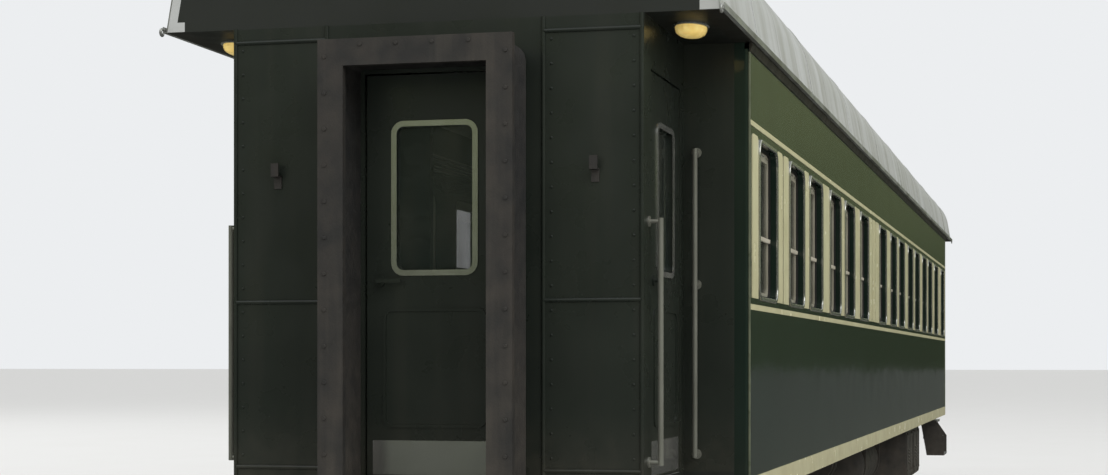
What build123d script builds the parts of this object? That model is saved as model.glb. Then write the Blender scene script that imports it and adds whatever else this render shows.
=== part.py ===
from build123d import *
import os
from math import cos, radians, sin, sqrt, tan

os.makedirs("parts", exist_ok=True)

# A bogie passenger coach for 1067 mm gauge track, in millimetres.
# X runs along the coach with the front end at +X, Y is to the left and Z is up.
# The origin is midway between the bogies, level with the lowest point of the wheel flanges.

# Wheels and axles
WHEEL_TREAD_RADIUS = 432
FLANGE_HEIGHT = 28
FLANGE_THICKNESS = 30
WHEEL_BACK_TO_BACK = 988
TYRE_WIDTH = 127
TREAD_CONING = 4
RIM_DEPTH = 60
WHEEL_WEB_THICKNESS = 32
HUB_RADIUS = 140
HUB_OVERHANG = 16
HUB_LENGTH = 177
AXLE_RADIUS = 80
AXLE_SHOULDER = 45
JOURNAL_RADIUS = 62
JOURNAL_END_Y = 950

# Bogies
BOGIE_CENTRES = 13700
BOGIE_WHEELBASE = 2440
BOGIE_LENGTH = 3300
SIDE_FRAME_Y = 880
SIDE_FRAME_THICKNESS = 90
SIDE_FRAME_TOP = 880
SIDE_FRAME_DEPTH = 120
SIDE_FRAME_DROP_HALF_LENGTH = 400
SIDE_FRAME_DROP_DEPTH = 290
SIDE_FRAME_DROP_ANGLE = 75
PEDESTAL_LEG_WIDTH = 80
PEDESTAL_BOTTOM = 300
PEDESTAL_TIE_DEPTH = 30
PEDESTAL_OVERHANG = 60
TRANSOM_X = 240
TRANSOM_THICKNESS = 110
TRANSOM_DEPTH = 200
TRANSOM_TOP = 800
END_BEAM_TOP = 850
END_BEAM_THICKNESS = 60
END_BEAM_DEPTH = 90
AXLEBOX_WIDTH = 250
AXLEBOX_HEIGHT = 250
AXLEBOX_DEPTH = 180
AXLEBOX_CLEARANCE = 5
AXLEBOX_LID_RADIUS = 95
AXLEBOX_LID_THICKNESS = 25
JOURNAL_CLEARANCE = 0.5
EQUALISER_THICKNESS = 25
EQUALISER_DEPTH = 80
EQUALISER_DROP = 255
EQUALISER_SIDE_GAP = 10
EQUALISER_REACH = 90
EQUALISER_BEND_OUTER = 220
EQUALISER_BEND_INNER = 460
COIL_X = 560
COIL_RADIUS = 80
COIL_SEAT_THICKNESS = 15
BOLSTER_HALF_WIDTH = 165
BOLSTER_DEPTH = 170
BOLSTER_TOP = 830
BOLSTER_END_GAP = 10
PLANK_TOP = 400
PLANK_THICKNESS = 50
LEAF_SPRING_Y = 640
LEAF_SPRING_LENGTH = 300
LEAF_SPRING_HALF_WIDTH = 130
LEAF_BUCKLE_WIDTH = 70
LEAF_SPRING_TIP = 60
SWING_LINK_WIDTH = 60
SWING_LINK_TOP = 740
SIDE_BEARER_Y = 760
SIDE_BEARER_LENGTH = 180
SIDE_BEARER_WIDTH = 90
SIDE_BEARER_HEIGHT = 100
BRAKE_BLOCK_CLEARANCE = 8
BRAKE_BLOCK_THICKNESS = 50
BRAKE_BLOCK_WIDTH = 75
BRAKE_BLOCK_HALF_ANGLE = 18
BRAKE_BEAM_RADIUS = 25
BRAKE_BEAM_SETBACK = 34
BRAKE_HANGER_THICKNESS = 20
BRAKE_HANGER_WIDTH = 36
BRAKE_HANGER_GAP = 19
BOGIE_SWIVEL_GAP = 0.5

# Body, with heights above the bottom edge of the side
SIDE_BOTTOM_ABOVE_RAIL = 1000
BODY_WIDTH = 2820
WALL_THICKNESS = 80
CORNER_GAP = 87
CORNER_RADIUS = 25
RECESS_LENGTH = 1030
RECESS_DEPTH = 350
FLOOR_ABOVE_SIDE_BOTTOM = 143
FLOOR_THICKNESS = 60
FASCIA_HEIGHT = 2369
FASCIA_SET_BACK = 25
EAVE_HEIGHT = 2402

# Windows and paint lines on the sides, with heights above the bottom edge of the side
WINDOW_BAY = 745
WINDOW_WIDTH = 670
WINDOW_HEIGHT = 835
WINDOW_BOTTOM = 1075
WINDOW_CORNER_RADIUS = 70
BEAD_WIDTH = 22
BEAD_PROUD = 12
BEAD_ROUNDING = 5
SASH_SET_BACK = 45
SASH_THICKNESS = 30
SASH_STILE = 34
SASH_TOP_RAIL = 60
GLASS_THICKNESS = 8
STRIPE_THICKNESS = 4
PANEL_SEAM = 50
PANEL_BOTTOM = 1062
PANEL_HEIGHT = 874
PANEL_CORNER_RADIUS = 40

# Pillars between the window bays, from the rear corner: width and number of painted panels
PILLARS = (
    (209, 1),
    (470, 2),
    (230, 1),
    (395, 1),
    (230, 1),
    (395, 1),
    (940, 3),
    (395, 1),
    (230, 1),
    (395, 1),
    (230, 1),
    (395, 1),
    (230, 1),
    (395, 1),
    (562, 1),
    (210, 1),
)

# Full-length stripes on the sides: height of the lower edge and width
STRIPES = (
    (0, 111),
    (998, 30),
    (1974, 26),
)

# Roof
ROOF_OVERHANG = 20
ROOF_THICKNESS = 50
ROOF_SIDE_ANGLE = 80
ROOF_SIDE_HEIGHT = 255
ROOF_SHOULDER_RADIUS = 450
ROOF_CROWN_ANGLE = 10
EAVE_RAIL_DEPTH = 50
GUTTER_WIDTH = 22
GUTTER_HEIGHT = 32
GUTTER_SHEET = 4
CEILING_THICKNESS = 20
VENTILATOR_PITCH = 2400
VENTILATORS_IN_ROW = 7
VENTILATOR_Y = 420
VENTILATOR_STEM_RADIUS = 60
VENTILATOR_STEM_HEIGHT = 60
VENTILATOR_RADIUS = 85
VENTILATOR_LENGTH = 380
VENTILATOR_SINK = 12
VENTILATOR_ROUNDING = 38

# End walls, gangways and doors
END_WALL_THICKNESS = 60
SIDE_DOOR_WALL_THICKNESS = 50
BULKHEAD_THICKNESS = 60
DOORWAY_HEIGHT = 2010
BULKHEAD_DOORWAY_WIDTH = 700
GANGWAY_DOORWAY_WIDTH = 720
SIDE_DOORWAY_WIDTH = 770
SIDE_DOORWAY_INNER_POST = 100
DOOR_THICKNESS = 45
DOOR_CLEARANCE = 8
HINGE_OFFSET = 10
HINGE_FIT = 0.3
HINGE_LENGTH = 110
HINGE_PLATE_WIDTH = 60
HINGE_PLATE_START = 3
HINGE_PLATE_THICKNESS = 5
HINGE_HEIGHTS = (250, 1000, 1750)
DOOR_WINDOW_WIDTH = 400
DOOR_WINDOW_HEIGHT = 720
DOOR_WINDOW_BOTTOM = 1030
DOOR_WINDOW_RADIUS = 40
HANDLE_HEIGHT = 980
HANDLE_INSET = 70
HANDLE_ROSE_RADIUS = 28
HANDLE_ROSE_THICKNESS = 10
HANDLE_STAND_OFF = 48
HANDLE_BAR_LENGTH = 130
HANDLE_BAR_DEPTH = 20
HANDLE_BAR_THICKNESS = 14
GANGWAY_REACH = 315
FACEPLATE_THICKNESS = 40
FACEPLATE_RIM = 130
BELLOWS_RIM = 115
BELLOWS_INNER_GAP = 20
HANDRAIL_RADIUS = 14
HANDRAIL_STAND_OFF = 60
HANDRAIL_BRACKET_RADIUS = 11
HANDRAIL_FOOT_RADIUS = 26
HANDRAIL_FOOT_THICKNESS = 8
HANDRAIL_FROM_SIDE = 280
HANDRAIL_BOTTOM = 218
HANDRAIL_MIDDLE = 1130
HANDRAIL_TOP = 1843
CORNER_RAIL_TOP = 1420
CORNER_RAIL_FROM_END = 105
RAIL_END_MARGIN = 16
LAMP_LENGTH = 220
LAMP_WIDTH = 130
LAMP_BASE_THICKNESS = 14
LAMP_DROP = 48
LAMP_FROM_RECESS_WALL = 600
LAMP_FROM_SIDE = 200
LAMP_TAPER = 25

# Underframe and what hangs from it
SOLE_BAR_WIDTH = 100
SOLE_BAR_DEPTH = 110
CROSS_BEARER_WIDTH = 90
OUTER_BEARER_X = 5000
BODY_BOLSTER_WIDTH = 380
JACKING_PAD_LENGTH = 200
JACKING_PAD_DEPTH = 15
CENTRE_SILL_Y = 210
CENTRE_SILL_WIDTH = 90
CENTRE_SILL_DEPTH = 140
HEADSTOCK_THICKNESS = 80
DRAFT_BLOCK_X = 9250
DRAFT_BLOCK_LENGTH = 80
DRAFT_PLATE_DEPTH = 190
DRAFT_PLATE_HALF_WIDTH = 300
SHANK_PASSAGE_WIDTH = 190
SHANK_PASSAGE_HEIGHT = 180
CENTRE_PLATE_RADIUS = 155
PIVOT_PIN_RADIUS = 40
PIVOT_PIN_CLEARANCE = 2
PIVOT_PIN_LENGTH = 120
COUPLER_ABOVE_RAIL = 889
COUPLER_SHANK = 130
COUPLER_HEAD_REACH = 130
COUPLER_HEAD_HEIGHT = 220
KNUCKLE_HEIGHT = 230
KNUCKLE_PIN_RADIUS = 21
KNUCKLE_PIN_X = 140
KNUCKLE_PIN_Y = -90

# Coupler outlines seen from above: X beyond the back of the head and Y
COUPLER_HEAD_OUTLINE = (
    (-60, -85),
    (40, -120),
    (110, -120),
    (110, 20),
    (135, 70),
    (255, 110),
    (250, 150),
    (60, 140),
    (-60, 85),
)
KNUCKLE_OUTLINE = (
    (80, -125),
    (190, -120),
    (235, -80),
    (240, -10),
    (215, 25),
    (180, 15),
    (175, -45),
    (110, -60),
    (80, -60),
)

# Entrance steps
STEP_WIDTH = 660
STEP_SIDE_PLATE = 10
STEP_TREAD_THICKNESS = 28
STEP_TREAD_DEPTH = 230
STEP_RISE = 225
STEP_PLATE_BACK = 60
STEP_COUNT = 3

# Boxes, tanks and cylinders below the floor: length, width, height, X and Y of the centre
BATTERY_BOX = {"length": 1900, "width": 560, "height": 540, "x": 4050, "y": 1035}
WATER_TANK = {"length": 1700, "radius": 285, "x": 2050, "y": 760, "strap_spacing": 1460}
BRAKE_CYLINDER = {"length": 420, "radius": 190, "x": 100, "y": 690, "strap_spacing": 120}
TANK_STRAP_WIDTH = 60
TANK_STRAP_THICKNESS = 12

# Seats, in rows that stand back to back at these pillars
SEAT_PILLARS = (1, 3, 5, 7, 9, 11, 13)
SEAT_LENGTH = 980
SEAT_WALL_GAP = 20
SEAT_DEPTH = 540
SEAT_BASE_HEIGHT = 300
SEAT_CUSHION = 120
SEAT_BACK_TOP = 1130
SEAT_BACK_BOARD = 40
SEAT_BACK_CUSHION = 110

# Worked-out sizes
RAIL_TOP = FLANGE_HEIGHT
AXLE_Z = WHEEL_TREAD_RADIUS + FLANGE_HEIGHT
SIDE_BOTTOM = RAIL_TOP + SIDE_BOTTOM_ABOVE_RAIL
FLOOR_TOP = SIDE_BOTTOM + FLOOR_ABOVE_SIDE_BOTTOM
FLOOR_BOTTOM = FLOOR_TOP - FLOOR_THICKNESS
FASCIA_TOP = SIDE_BOTTOM + FASCIA_HEIGHT
EAVE_Z = SIDE_BOTTOM + EAVE_HEIGHT
HALF_WIDTH = BODY_WIDTH / 2
ROOF_WIDTH = BODY_WIDTH + 2 * ROOF_OVERHANG
WALL_INNER_Y = HALF_WIDTH - WALL_THICKNESS
VESTIBULE_Y = HALF_WIDTH - RECESS_DEPTH
BAY_COUNT = len(PILLARS) - 1
SIDE_LENGTH = 2 * CORNER_GAP + BAY_COUNT * WINDOW_BAY + sum(width for width, count in PILLARS)
HALF_SIDE = SIDE_LENGTH / 2
HALF_BODY = HALF_SIDE + RECESS_LENGTH
BODY_LENGTH = 2 * HALF_BODY
END_WALL_INNER_X = HALF_BODY - END_WALL_THICKNESS
VESTIBULE_WALL_LENGTH = END_WALL_INNER_X - HALF_SIDE
ROOM_HEIGHT = EAVE_Z - FLOOR_TOP
DOOR_HEIGHT = DOORWAY_HEIGHT - 2 * DOOR_CLEARANCE
DOOR_MIDDLE_Z = FLOOR_TOP + DOORWAY_HEIGHT / 2
WINDOW_MIDDLE_Z = SIDE_BOTTOM + WINDOW_BOTTOM + WINDOW_HEIGHT / 2
FRAME_BOTTOM = FLOOR_BOTTOM - SOLE_BAR_DEPTH
COUPLER_Z = RAIL_TOP + COUPLER_ABOVE_RAIL
CROSS_BEARER_X = (
    BRAKE_CYLINDER["x"],
    WATER_TANK["x"] - WATER_TANK["strap_spacing"] / 2,
    WATER_TANK["x"] + WATER_TANK["strap_spacing"] / 2,
    OUTER_BEARER_X,
    HALF_SIDE - CROSS_BEARER_WIDTH / 2,
)
ENDS = (("front", 1), ("rear", -1))
SIDES = (("left", 1), ("right", -1))


def pillar_spans():
    """Return the start and end X of each pillar, from the rear corner of the side."""
    spans = []
    start = CORNER_GAP - HALF_SIDE
    for width, count in PILLARS:
        spans.append((start, start + width))
        start = start + width + WINDOW_BAY
    return spans


def window_centres():
    """Return the X of each window, midway between its two pillars."""
    spans = pillar_spans()
    return [(spans[bay][1] + spans[bay + 1][0]) / 2 for bay in range(BAY_COUNT)]


def roof_outline(inset, base_z):
    """Draw the closed roof curve, inset from the outer skin, down to base_z."""
    lean = radians(ROOF_SIDE_ANGLE)
    crown = radians(ROOF_CROWN_ANGLE)
    shoulder_radius = ROOF_SHOULDER_RADIUS - inset
    top_of_side = (
        ROOF_WIDTH / 2 - ROOF_SIDE_HEIGHT / tan(lean) - inset * sin(lean),
        EAVE_Z + ROOF_SIDE_HEIGHT - inset * cos(lean),
    )
    foot = top_of_side[0] + (top_of_side[1] - base_z) / tan(lean)
    shoulder_turn = ROOF_SIDE_ANGLE - ROOF_CROWN_ANGLE
    rising = Line((foot, base_z), top_of_side)
    shoulder = JernArc(rising @ 1, rising % 1, shoulder_radius, shoulder_turn)
    crown_radius = (shoulder @ 1).X / sin(crown)
    top = JernArc(shoulder @ 1, shoulder % 1, crown_radius, 2 * ROOF_CROWN_ANGLE)
    far_shoulder = JernArc(top @ 1, top % 1, shoulder_radius, shoulder_turn)
    falling = Line(far_shoulder @ 1, (-foot, base_z))
    Line(falling @ 1, rising @ 0)


def roof_height(y):
    """Return the Z of the roof's outer skin at y, within the crown's arc."""
    crown = radians(ROOF_CROWN_ANGLE)
    lean = radians(ROOF_SIDE_ANGLE)
    side_y = ROOF_WIDTH / 2 - ROOF_SIDE_HEIGHT / tan(lean)
    arc_y = side_y - ROOF_SHOULDER_RADIUS * (sin(lean) - sin(crown))
    arc_z = EAVE_Z + ROOF_SIDE_HEIGHT + ROOF_SHOULDER_RADIUS * (cos(crown) - cos(lean))
    radius = arc_y / sin(crown)
    return arc_z - radius * cos(crown) + sqrt(radius**2 - y**2)


def save(piece, name):
    """Label a finished piece and write it to its own file."""
    piece.part.label = name
    export_step(piece.part, f"parts/{name}.step")


# Side walls, each one panel from the sole to the cant rail, with the windows cut
with BuildPart() as wall_right:
    with BuildSketch(Plane.YZ.offset(-HALF_SIDE)):
        with BuildLine():
            Polyline(
                (-HALF_WIDTH, SIDE_BOTTOM),
                (-HALF_WIDTH, FASCIA_TOP),
                (FASCIA_SET_BACK - HALF_WIDTH, FASCIA_TOP),
                (FASCIA_SET_BACK - HALF_WIDTH, EAVE_Z),
                (-WALL_INNER_Y, EAVE_Z),
                (-WALL_INNER_Y, SIDE_BOTTOM),
                close=True,
            )
        make_face()
    extrude(amount=SIDE_LENGTH)
    outer_corners = wall_right.edges().filter_by(Axis.Z).group_by(Axis.Y)[0]
    fillet(outer_corners, radius=CORNER_RADIUS)
    with BuildSketch(Plane.XZ.offset(HALF_WIDTH)):
        with Locations(*[(x, WINDOW_MIDDLE_Z) for x in window_centres()]):
            RectangleRounded(WINDOW_WIDTH, WINDOW_HEIGHT, WINDOW_CORNER_RADIUS)
    extrude(amount=-WALL_THICKNESS, mode=Mode.SUBTRACT)
save(wall_right, "wall_right")

with BuildPart() as wall_left:
    add(mirror(wall_right.part, about=Plane.XZ, mode=Mode.PRIVATE))
save(wall_left, "wall_left")

# Cream stripes and pillar panels on both sides
with BuildPart() as side_bands:
    with BuildSketch(Plane.XZ.offset(HALF_WIDTH)):
        for bottom, width in STRIPES:
            with Locations((0, SIDE_BOTTOM + bottom + width / 2)):
                Rectangle(SIDE_LENGTH - 2 * CORNER_RADIUS, width)
        for (start, end), (width, count) in zip(pillar_spans(), PILLARS):
            panel_width = (width - PANEL_SEAM * (count - 1)) / count
            for panel in range(count):
                middle = start + panel_width / 2 + panel * (panel_width + PANEL_SEAM)
                with Locations((middle, SIDE_BOTTOM + PANEL_BOTTOM + PANEL_HEIGHT / 2)):
                    Rectangle(panel_width, PANEL_HEIGHT)
    extrude(amount=STRIPE_THICKNESS)
    top_corners = side_bands.edges().filter_by(Axis.Y)
    panel_top = SIDE_BOTTOM + PANEL_BOTTOM + PANEL_HEIGHT
    top_corners = top_corners.filter_by(lambda edge: abs(edge.center().Z - panel_top) < 1)
    fillet(top_corners, radius=PANEL_CORNER_RADIUS)
    mirror(about=Plane.XZ)
save(side_bands, "side_bands")

# Polished beads round the windows
with BuildPart() as bead:
    with BuildSketch(Plane.XZ):
        RectangleRounded(
            WINDOW_WIDTH + 2 * BEAD_WIDTH,
            WINDOW_HEIGHT + 2 * BEAD_WIDTH,
            WINDOW_CORNER_RADIUS + BEAD_WIDTH,
        )
        RectangleRounded(
            WINDOW_WIDTH, WINDOW_HEIGHT, WINDOW_CORNER_RADIUS, mode=Mode.SUBTRACT
        )
    extrude(amount=BEAD_PROUD)
    fillet(bead.faces().sort_by(Axis.Y)[0].edges(), radius=BEAD_ROUNDING)

with BuildPart() as window_frames:
    with Locations(*[(x, -HALF_WIDTH, WINDOW_MIDDLE_Z) for x in window_centres()]):
        add(bead.part)
    mirror(about=Plane.XZ)
save(window_frames, "window_frames")

# Sliding sashes in the window openings and the glass in them
SASH_GLASS_WIDTH = WINDOW_WIDTH - 2 * SASH_STILE
SASH_GLASS_HEIGHT = WINDOW_HEIGHT - SASH_STILE - SASH_TOP_RAIL
SASH_GLASS_RADIUS = WINDOW_CORNER_RADIUS - SASH_STILE
SASH_GLASS_Z = WINDOW_MIDDLE_Z + (SASH_STILE - SASH_TOP_RAIL) / 2
SASH_OUTER_Y = HALF_WIDTH - SASH_SET_BACK
GLASS_OUTER_Y = SASH_OUTER_Y - (SASH_THICKNESS - GLASS_THICKNESS) / 2

with BuildPart() as sashes:
    with BuildSketch(Plane.XZ.offset(SASH_OUTER_Y)):
        with Locations(*[(x, WINDOW_MIDDLE_Z) for x in window_centres()]):
            RectangleRounded(WINDOW_WIDTH, WINDOW_HEIGHT, WINDOW_CORNER_RADIUS)
        with Locations(*[(x, SASH_GLASS_Z) for x in window_centres()]):
            RectangleRounded(
                SASH_GLASS_WIDTH, SASH_GLASS_HEIGHT, SASH_GLASS_RADIUS, mode=Mode.SUBTRACT
            )
    extrude(amount=-SASH_THICKNESS)
    mirror(about=Plane.XZ)
save(sashes, "sashes")

with BuildPart() as glazing:
    with BuildSketch(Plane.XZ.offset(GLASS_OUTER_Y)):
        with Locations(*[(x, SASH_GLASS_Z) for x in window_centres()]):
            RectangleRounded(SASH_GLASS_WIDTH, SASH_GLASS_HEIGHT, SASH_GLASS_RADIUS)
    extrude(amount=-GLASS_THICKNESS)
    mirror(about=Plane.XZ)
save(glazing, "glazing")

# Roof shell with its eave rails, which seat on the walls and overhang the end recesses
EAVE_RAIL_WIDTH = ROOF_WIDTH / 2 - ROOF_THICKNESS / 2 - WALL_INNER_Y
with BuildPart() as roof:
    with BuildSketch(Plane.YZ.offset(-HALF_BODY)):
        with BuildLine():
            roof_outline(0, EAVE_Z)
        make_face()
        with BuildLine():
            roof_outline(ROOF_THICKNESS, EAVE_Z)
        make_face(mode=Mode.SUBTRACT)
        with Locations((WALL_INNER_Y, EAVE_Z), (-WALL_INNER_Y - EAVE_RAIL_WIDTH, EAVE_Z)):
            Rectangle(EAVE_RAIL_WIDTH, EAVE_RAIL_DEPTH, align=(Align.MIN, Align.MIN))
    extrude(amount=BODY_LENGTH)
save(roof, "roof")

# Gutters along the eaves, open at the top
with BuildPart() as gutters:
    with BuildSketch(Plane.YZ.offset(-HALF_BODY)):
        with BuildLine():
            Polyline(
                (ROOF_WIDTH / 2, EAVE_Z),
                (ROOF_WIDTH / 2 + GUTTER_WIDTH, EAVE_Z),
                (ROOF_WIDTH / 2 + GUTTER_WIDTH, EAVE_Z + GUTTER_HEIGHT),
                (ROOF_WIDTH / 2 + GUTTER_WIDTH - GUTTER_SHEET, EAVE_Z + GUTTER_HEIGHT),
                (ROOF_WIDTH / 2 + GUTTER_WIDTH - GUTTER_SHEET, EAVE_Z + GUTTER_SHEET),
                (ROOF_WIDTH / 2 - GUTTER_SHEET / tan(radians(ROOF_SIDE_ANGLE)), EAVE_Z + GUTTER_SHEET),
                close=True,
            )
        make_face()
    extrude(amount=BODY_LENGTH)
    mirror(about=Plane.XZ)
save(gutters, "gutters")

# Ceiling from end to end, with the boards that close the roof at both ends
with BuildPart() as ceiling:
    with BuildSketch(Plane.XY.offset(EAVE_Z)):
        Rectangle(2 * END_WALL_INNER_X, 2 * WALL_INNER_Y)
    extrude(amount=CEILING_THICKNESS)
    with BuildSketch(Plane.YZ.offset(END_WALL_INNER_X)):
        with BuildLine():
            roof_outline(ROOF_THICKNESS, EAVE_Z)
        make_face()
        with Locations((WALL_INNER_Y, EAVE_Z), (-WALL_INNER_Y - EAVE_RAIL_WIDTH, EAVE_Z)):
            Rectangle(
                EAVE_RAIL_WIDTH,
                EAVE_RAIL_DEPTH,
                align=(Align.MIN, Align.MIN),
                mode=Mode.SUBTRACT,
            )
    extrude(amount=END_WALL_THICKNESS)
    mirror(about=Plane.YZ)
save(ceiling, "ceiling")

# Ventilators in two rows beside the crown
with BuildPart() as ventilator:
    with BuildSketch(Plane.XY.offset(-VENTILATOR_SINK)):
        Circle(VENTILATOR_STEM_RADIUS)
    extrude(amount=VENTILATOR_STEM_HEIGHT + VENTILATOR_SINK)
    barrel_plane = Plane.YZ.offset(-VENTILATOR_LENGTH / 2)
    with BuildSketch(barrel_plane):
        with Locations((0, VENTILATOR_STEM_HEIGHT + VENTILATOR_RADIUS / 2)):
            Circle(VENTILATOR_RADIUS)
    extrude(amount=VENTILATOR_LENGTH)
    barrel_ends = ventilator.edges().filter_by(GeomType.CIRCLE).group_by(Axis.X)
    fillet(barrel_ends[0] + barrel_ends[-1], radius=VENTILATOR_ROUNDING)

VENTILATOR_Z = roof_height(VENTILATOR_Y)
with BuildPart() as roof_ventilators:
    first_ventilator_x = -VENTILATOR_PITCH * (VENTILATORS_IN_ROW - 1) / 2
    for place in range(VENTILATORS_IN_ROW):
        x = first_ventilator_x + place * VENTILATOR_PITCH
        with Locations((x, VENTILATOR_Y, VENTILATOR_Z), (x, -VENTILATOR_Y, VENTILATOR_Z)):
            add(ventilator.part)
    with BuildSketch(Plane.YZ.offset(-HALF_BODY)):
        with BuildLine():
            roof_outline(0, EAVE_Z)
        make_face()
    extrude(amount=BODY_LENGTH, mode=Mode.SUBTRACT)
save(roof_ventilators, "roof_ventilators")

# Floor, full width between the walls and narrower in the vestibules
with BuildPart() as floor:
    with BuildSketch(Plane.XY.offset(FLOOR_BOTTOM)):
        Rectangle(SIDE_LENGTH, 2 * WALL_INNER_Y)
        Rectangle(BODY_LENGTH, 2 * VESTIBULE_Y)
    extrude(amount=FLOOR_THICKNESS)
save(floor, "floor")

# Bulkheads between the saloon and the vestibules
with BuildPart() as bulkheads:
    with BuildSketch(Plane.YZ.offset(HALF_SIDE)):
        with Locations((0, FLOOR_TOP)):
            Rectangle(2 * WALL_INNER_Y, ROOM_HEIGHT, align=(Align.CENTER, Align.MIN))
            Rectangle(
                BULKHEAD_DOORWAY_WIDTH,
                DOORWAY_HEIGHT,
                align=(Align.CENTER, Align.MIN),
                mode=Mode.SUBTRACT,
            )
    extrude(amount=-BULKHEAD_THICKNESS)
    mirror(about=Plane.YZ)
save(bulkheads, "bulkheads")

# Vestibule side walls with the entrance doorways
SIDE_DOORWAY_X = HALF_SIDE + SIDE_DOORWAY_INNER_POST
with BuildPart() as vestibule_walls:
    with BuildSketch(Plane.XZ.offset(-VESTIBULE_Y)):
        with Locations((HALF_SIDE, FLOOR_TOP)):
            Rectangle(VESTIBULE_WALL_LENGTH, ROOM_HEIGHT, align=(Align.MIN, Align.MIN))
        with Locations((SIDE_DOORWAY_X, FLOOR_TOP)):
            Rectangle(
                SIDE_DOORWAY_WIDTH,
                DOORWAY_HEIGHT,
                align=(Align.MIN, Align.MIN),
                mode=Mode.SUBTRACT,
            )
    extrude(amount=SIDE_DOOR_WALL_THICKNESS)
    mirror(about=Plane.XZ)
    mirror(about=Plane.YZ)
save(vestibule_walls, "vestibule_walls")

# End walls with the gangway doorways
with BuildPart() as end_walls:
    with BuildSketch(Plane.YZ.offset(END_WALL_INNER_X)):
        with Locations((0, FLOOR_TOP)):
            Rectangle(2 * VESTIBULE_Y, ROOM_HEIGHT, align=(Align.CENTER, Align.MIN))
            Rectangle(
                GANGWAY_DOORWAY_WIDTH,
                DOORWAY_HEIGHT,
                align=(Align.CENTER, Align.MIN),
                mode=Mode.SUBTRACT,
            )
    extrude(amount=END_WALL_THICKNESS)
    mirror(about=Plane.YZ)
save(end_walls, "end_walls")


def door_handles(x, z):
    """Add a lever handle on each face of a leaf."""
    for face_y, outward in ((HINGE_OFFSET, -1), (HINGE_OFFSET + DOOR_THICKNESS, 1)):
        face = Plane(origin=(x, face_y, z), x_dir=(1, 0, 0), z_dir=(0, outward, 0))
        with BuildSketch(face) as rose:
            Circle(HANDLE_ROSE_RADIUS)
        extrude(rose.sketch, amount=HANDLE_ROSE_THICKNESS)
        with BuildSketch(face) as spindle:
            Circle(HANDLE_BAR_DEPTH / 2)
        extrude(spindle.sketch, amount=HANDLE_STAND_OFF)
        with BuildSketch(face.offset(HANDLE_STAND_OFF - HANDLE_BAR_THICKNESS)) as lever:
            with Locations((HANDLE_BAR_DEPTH / 2, 0)):
                Rectangle(HANDLE_BAR_LENGTH, HANDLE_BAR_DEPTH, align=(Align.MAX, Align.CENTER))
        extrude(lever.sketch, amount=HANDLE_BAR_THICKNESS)


def door_window(width):
    """Draw the window of a leaf of this width."""
    window_z = FLOOR_TOP + DOOR_WINDOW_BOTTOM + DOOR_WINDOW_HEIGHT / 2
    with Locations((DOOR_CLEARANCE + width / 2, window_z)):
        RectangleRounded(DOOR_WINDOW_WIDTH, DOOR_WINDOW_HEIGHT, DOOR_WINDOW_RADIUS)


def door_pane(width):
    """Add the glass of a leaf, midway through its thickness."""
    pane_face = HINGE_OFFSET + (DOOR_THICKNESS - GLASS_THICKNESS) / 2
    with BuildSketch(Plane.XZ.offset(-pane_face)) as pane:
        door_window(width)
    extrude(pane.sketch, amount=-GLASS_THICKNESS)


def door_hinges():
    """Add the hinge barrels on the hinge line and the plates that carry the leaf."""
    for height in HINGE_HEIGHTS:
        bottom = FLOOR_TOP + height - HINGE_LENGTH / 2
        with BuildSketch(Plane.XY.offset(bottom)) as hinge:
            Circle(HINGE_OFFSET - HINGE_FIT)
            with Locations((HINGE_PLATE_START, HINGE_OFFSET)):
                Rectangle(HINGE_PLATE_WIDTH, HINGE_PLATE_THICKNESS, align=(Align.MIN, Align.MAX))
        extrude(hinge.sketch, amount=HINGE_LENGTH)


def door_leaf(width):
    """Add a leaf that reaches along X from its hinge line at the origin, with its window cut."""
    with BuildSketch(Plane.XZ.offset(-HINGE_OFFSET)) as opening:
        door_window(width)
    with BuildSketch(Plane.XZ.offset(-HINGE_OFFSET)) as panel:
        with Locations((DOOR_CLEARANCE + width / 2, DOOR_MIDDLE_Z)):
            Rectangle(width, DOOR_HEIGHT)
        add(opening.sketch, mode=Mode.SUBTRACT)
    extrude(panel.sketch, amount=-DOOR_THICKNESS)
    door_hinges()
    door_handles(DOOR_CLEARANCE + width - HANDLE_INSET, FLOOR_TOP + HANDLE_HEIGHT)


# Entrance doors, hinged on the saloon side of each doorway and opening inwards, and their glass
ENTRANCE_LEAF_WIDTH = SIDE_DOORWAY_WIDTH - 2 * DOOR_CLEARANCE
with BuildPart() as entrance_leaf:
    door_leaf(ENTRANCE_LEAF_WIDTH)

with BuildPart() as entrance_pane:
    door_pane(ENTRANCE_LEAF_WIDTH)

hinge_y = VESTIBULE_Y - SIDE_DOOR_WALL_THICKNESS - HINGE_OFFSET
for end, end_sign in ENDS:
    for side, side_sign in SIDES:
        for suffix, piece in (("", entrance_leaf), ("_glass", entrance_pane)):
            leaf = Pos(SIDE_DOORWAY_X, hinge_y, 0) * piece.part
            if end_sign < 0:
                leaf = leaf.mirror(Plane.YZ)
            if side_sign < 0:
                leaf = leaf.mirror(Plane.XZ)
            with BuildPart() as entrance_door:
                add(leaf)
            save(entrance_door, f"entrance_door_{end}_{side}{suffix}")

# Gangway doors, hinged at one side of the end doorway and opening inwards, and their glass
GANGWAY_LEAF_WIDTH = GANGWAY_DOORWAY_WIDTH - 2 * DOOR_CLEARANCE
with BuildPart() as gangway_leaf:
    door_leaf(GANGWAY_LEAF_WIDTH)

with BuildPart() as gangway_pane:
    door_pane(GANGWAY_LEAF_WIDTH)

for end, end_sign in ENDS:
    hinge_x = end_sign * (END_WALL_INNER_X - HINGE_OFFSET)
    hinge_place = Pos(hinge_x, end_sign * GANGWAY_DOORWAY_WIDTH / 2, 0)
    for suffix, piece in (("", gangway_leaf), ("_glass", gangway_pane)):
        with BuildPart() as gangway_door:
            add(hinge_place * Rot(0, 0, -90 * end_sign) * piece.part)
        save(gangway_door, f"gangway_door_{end}{suffix}")


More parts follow.
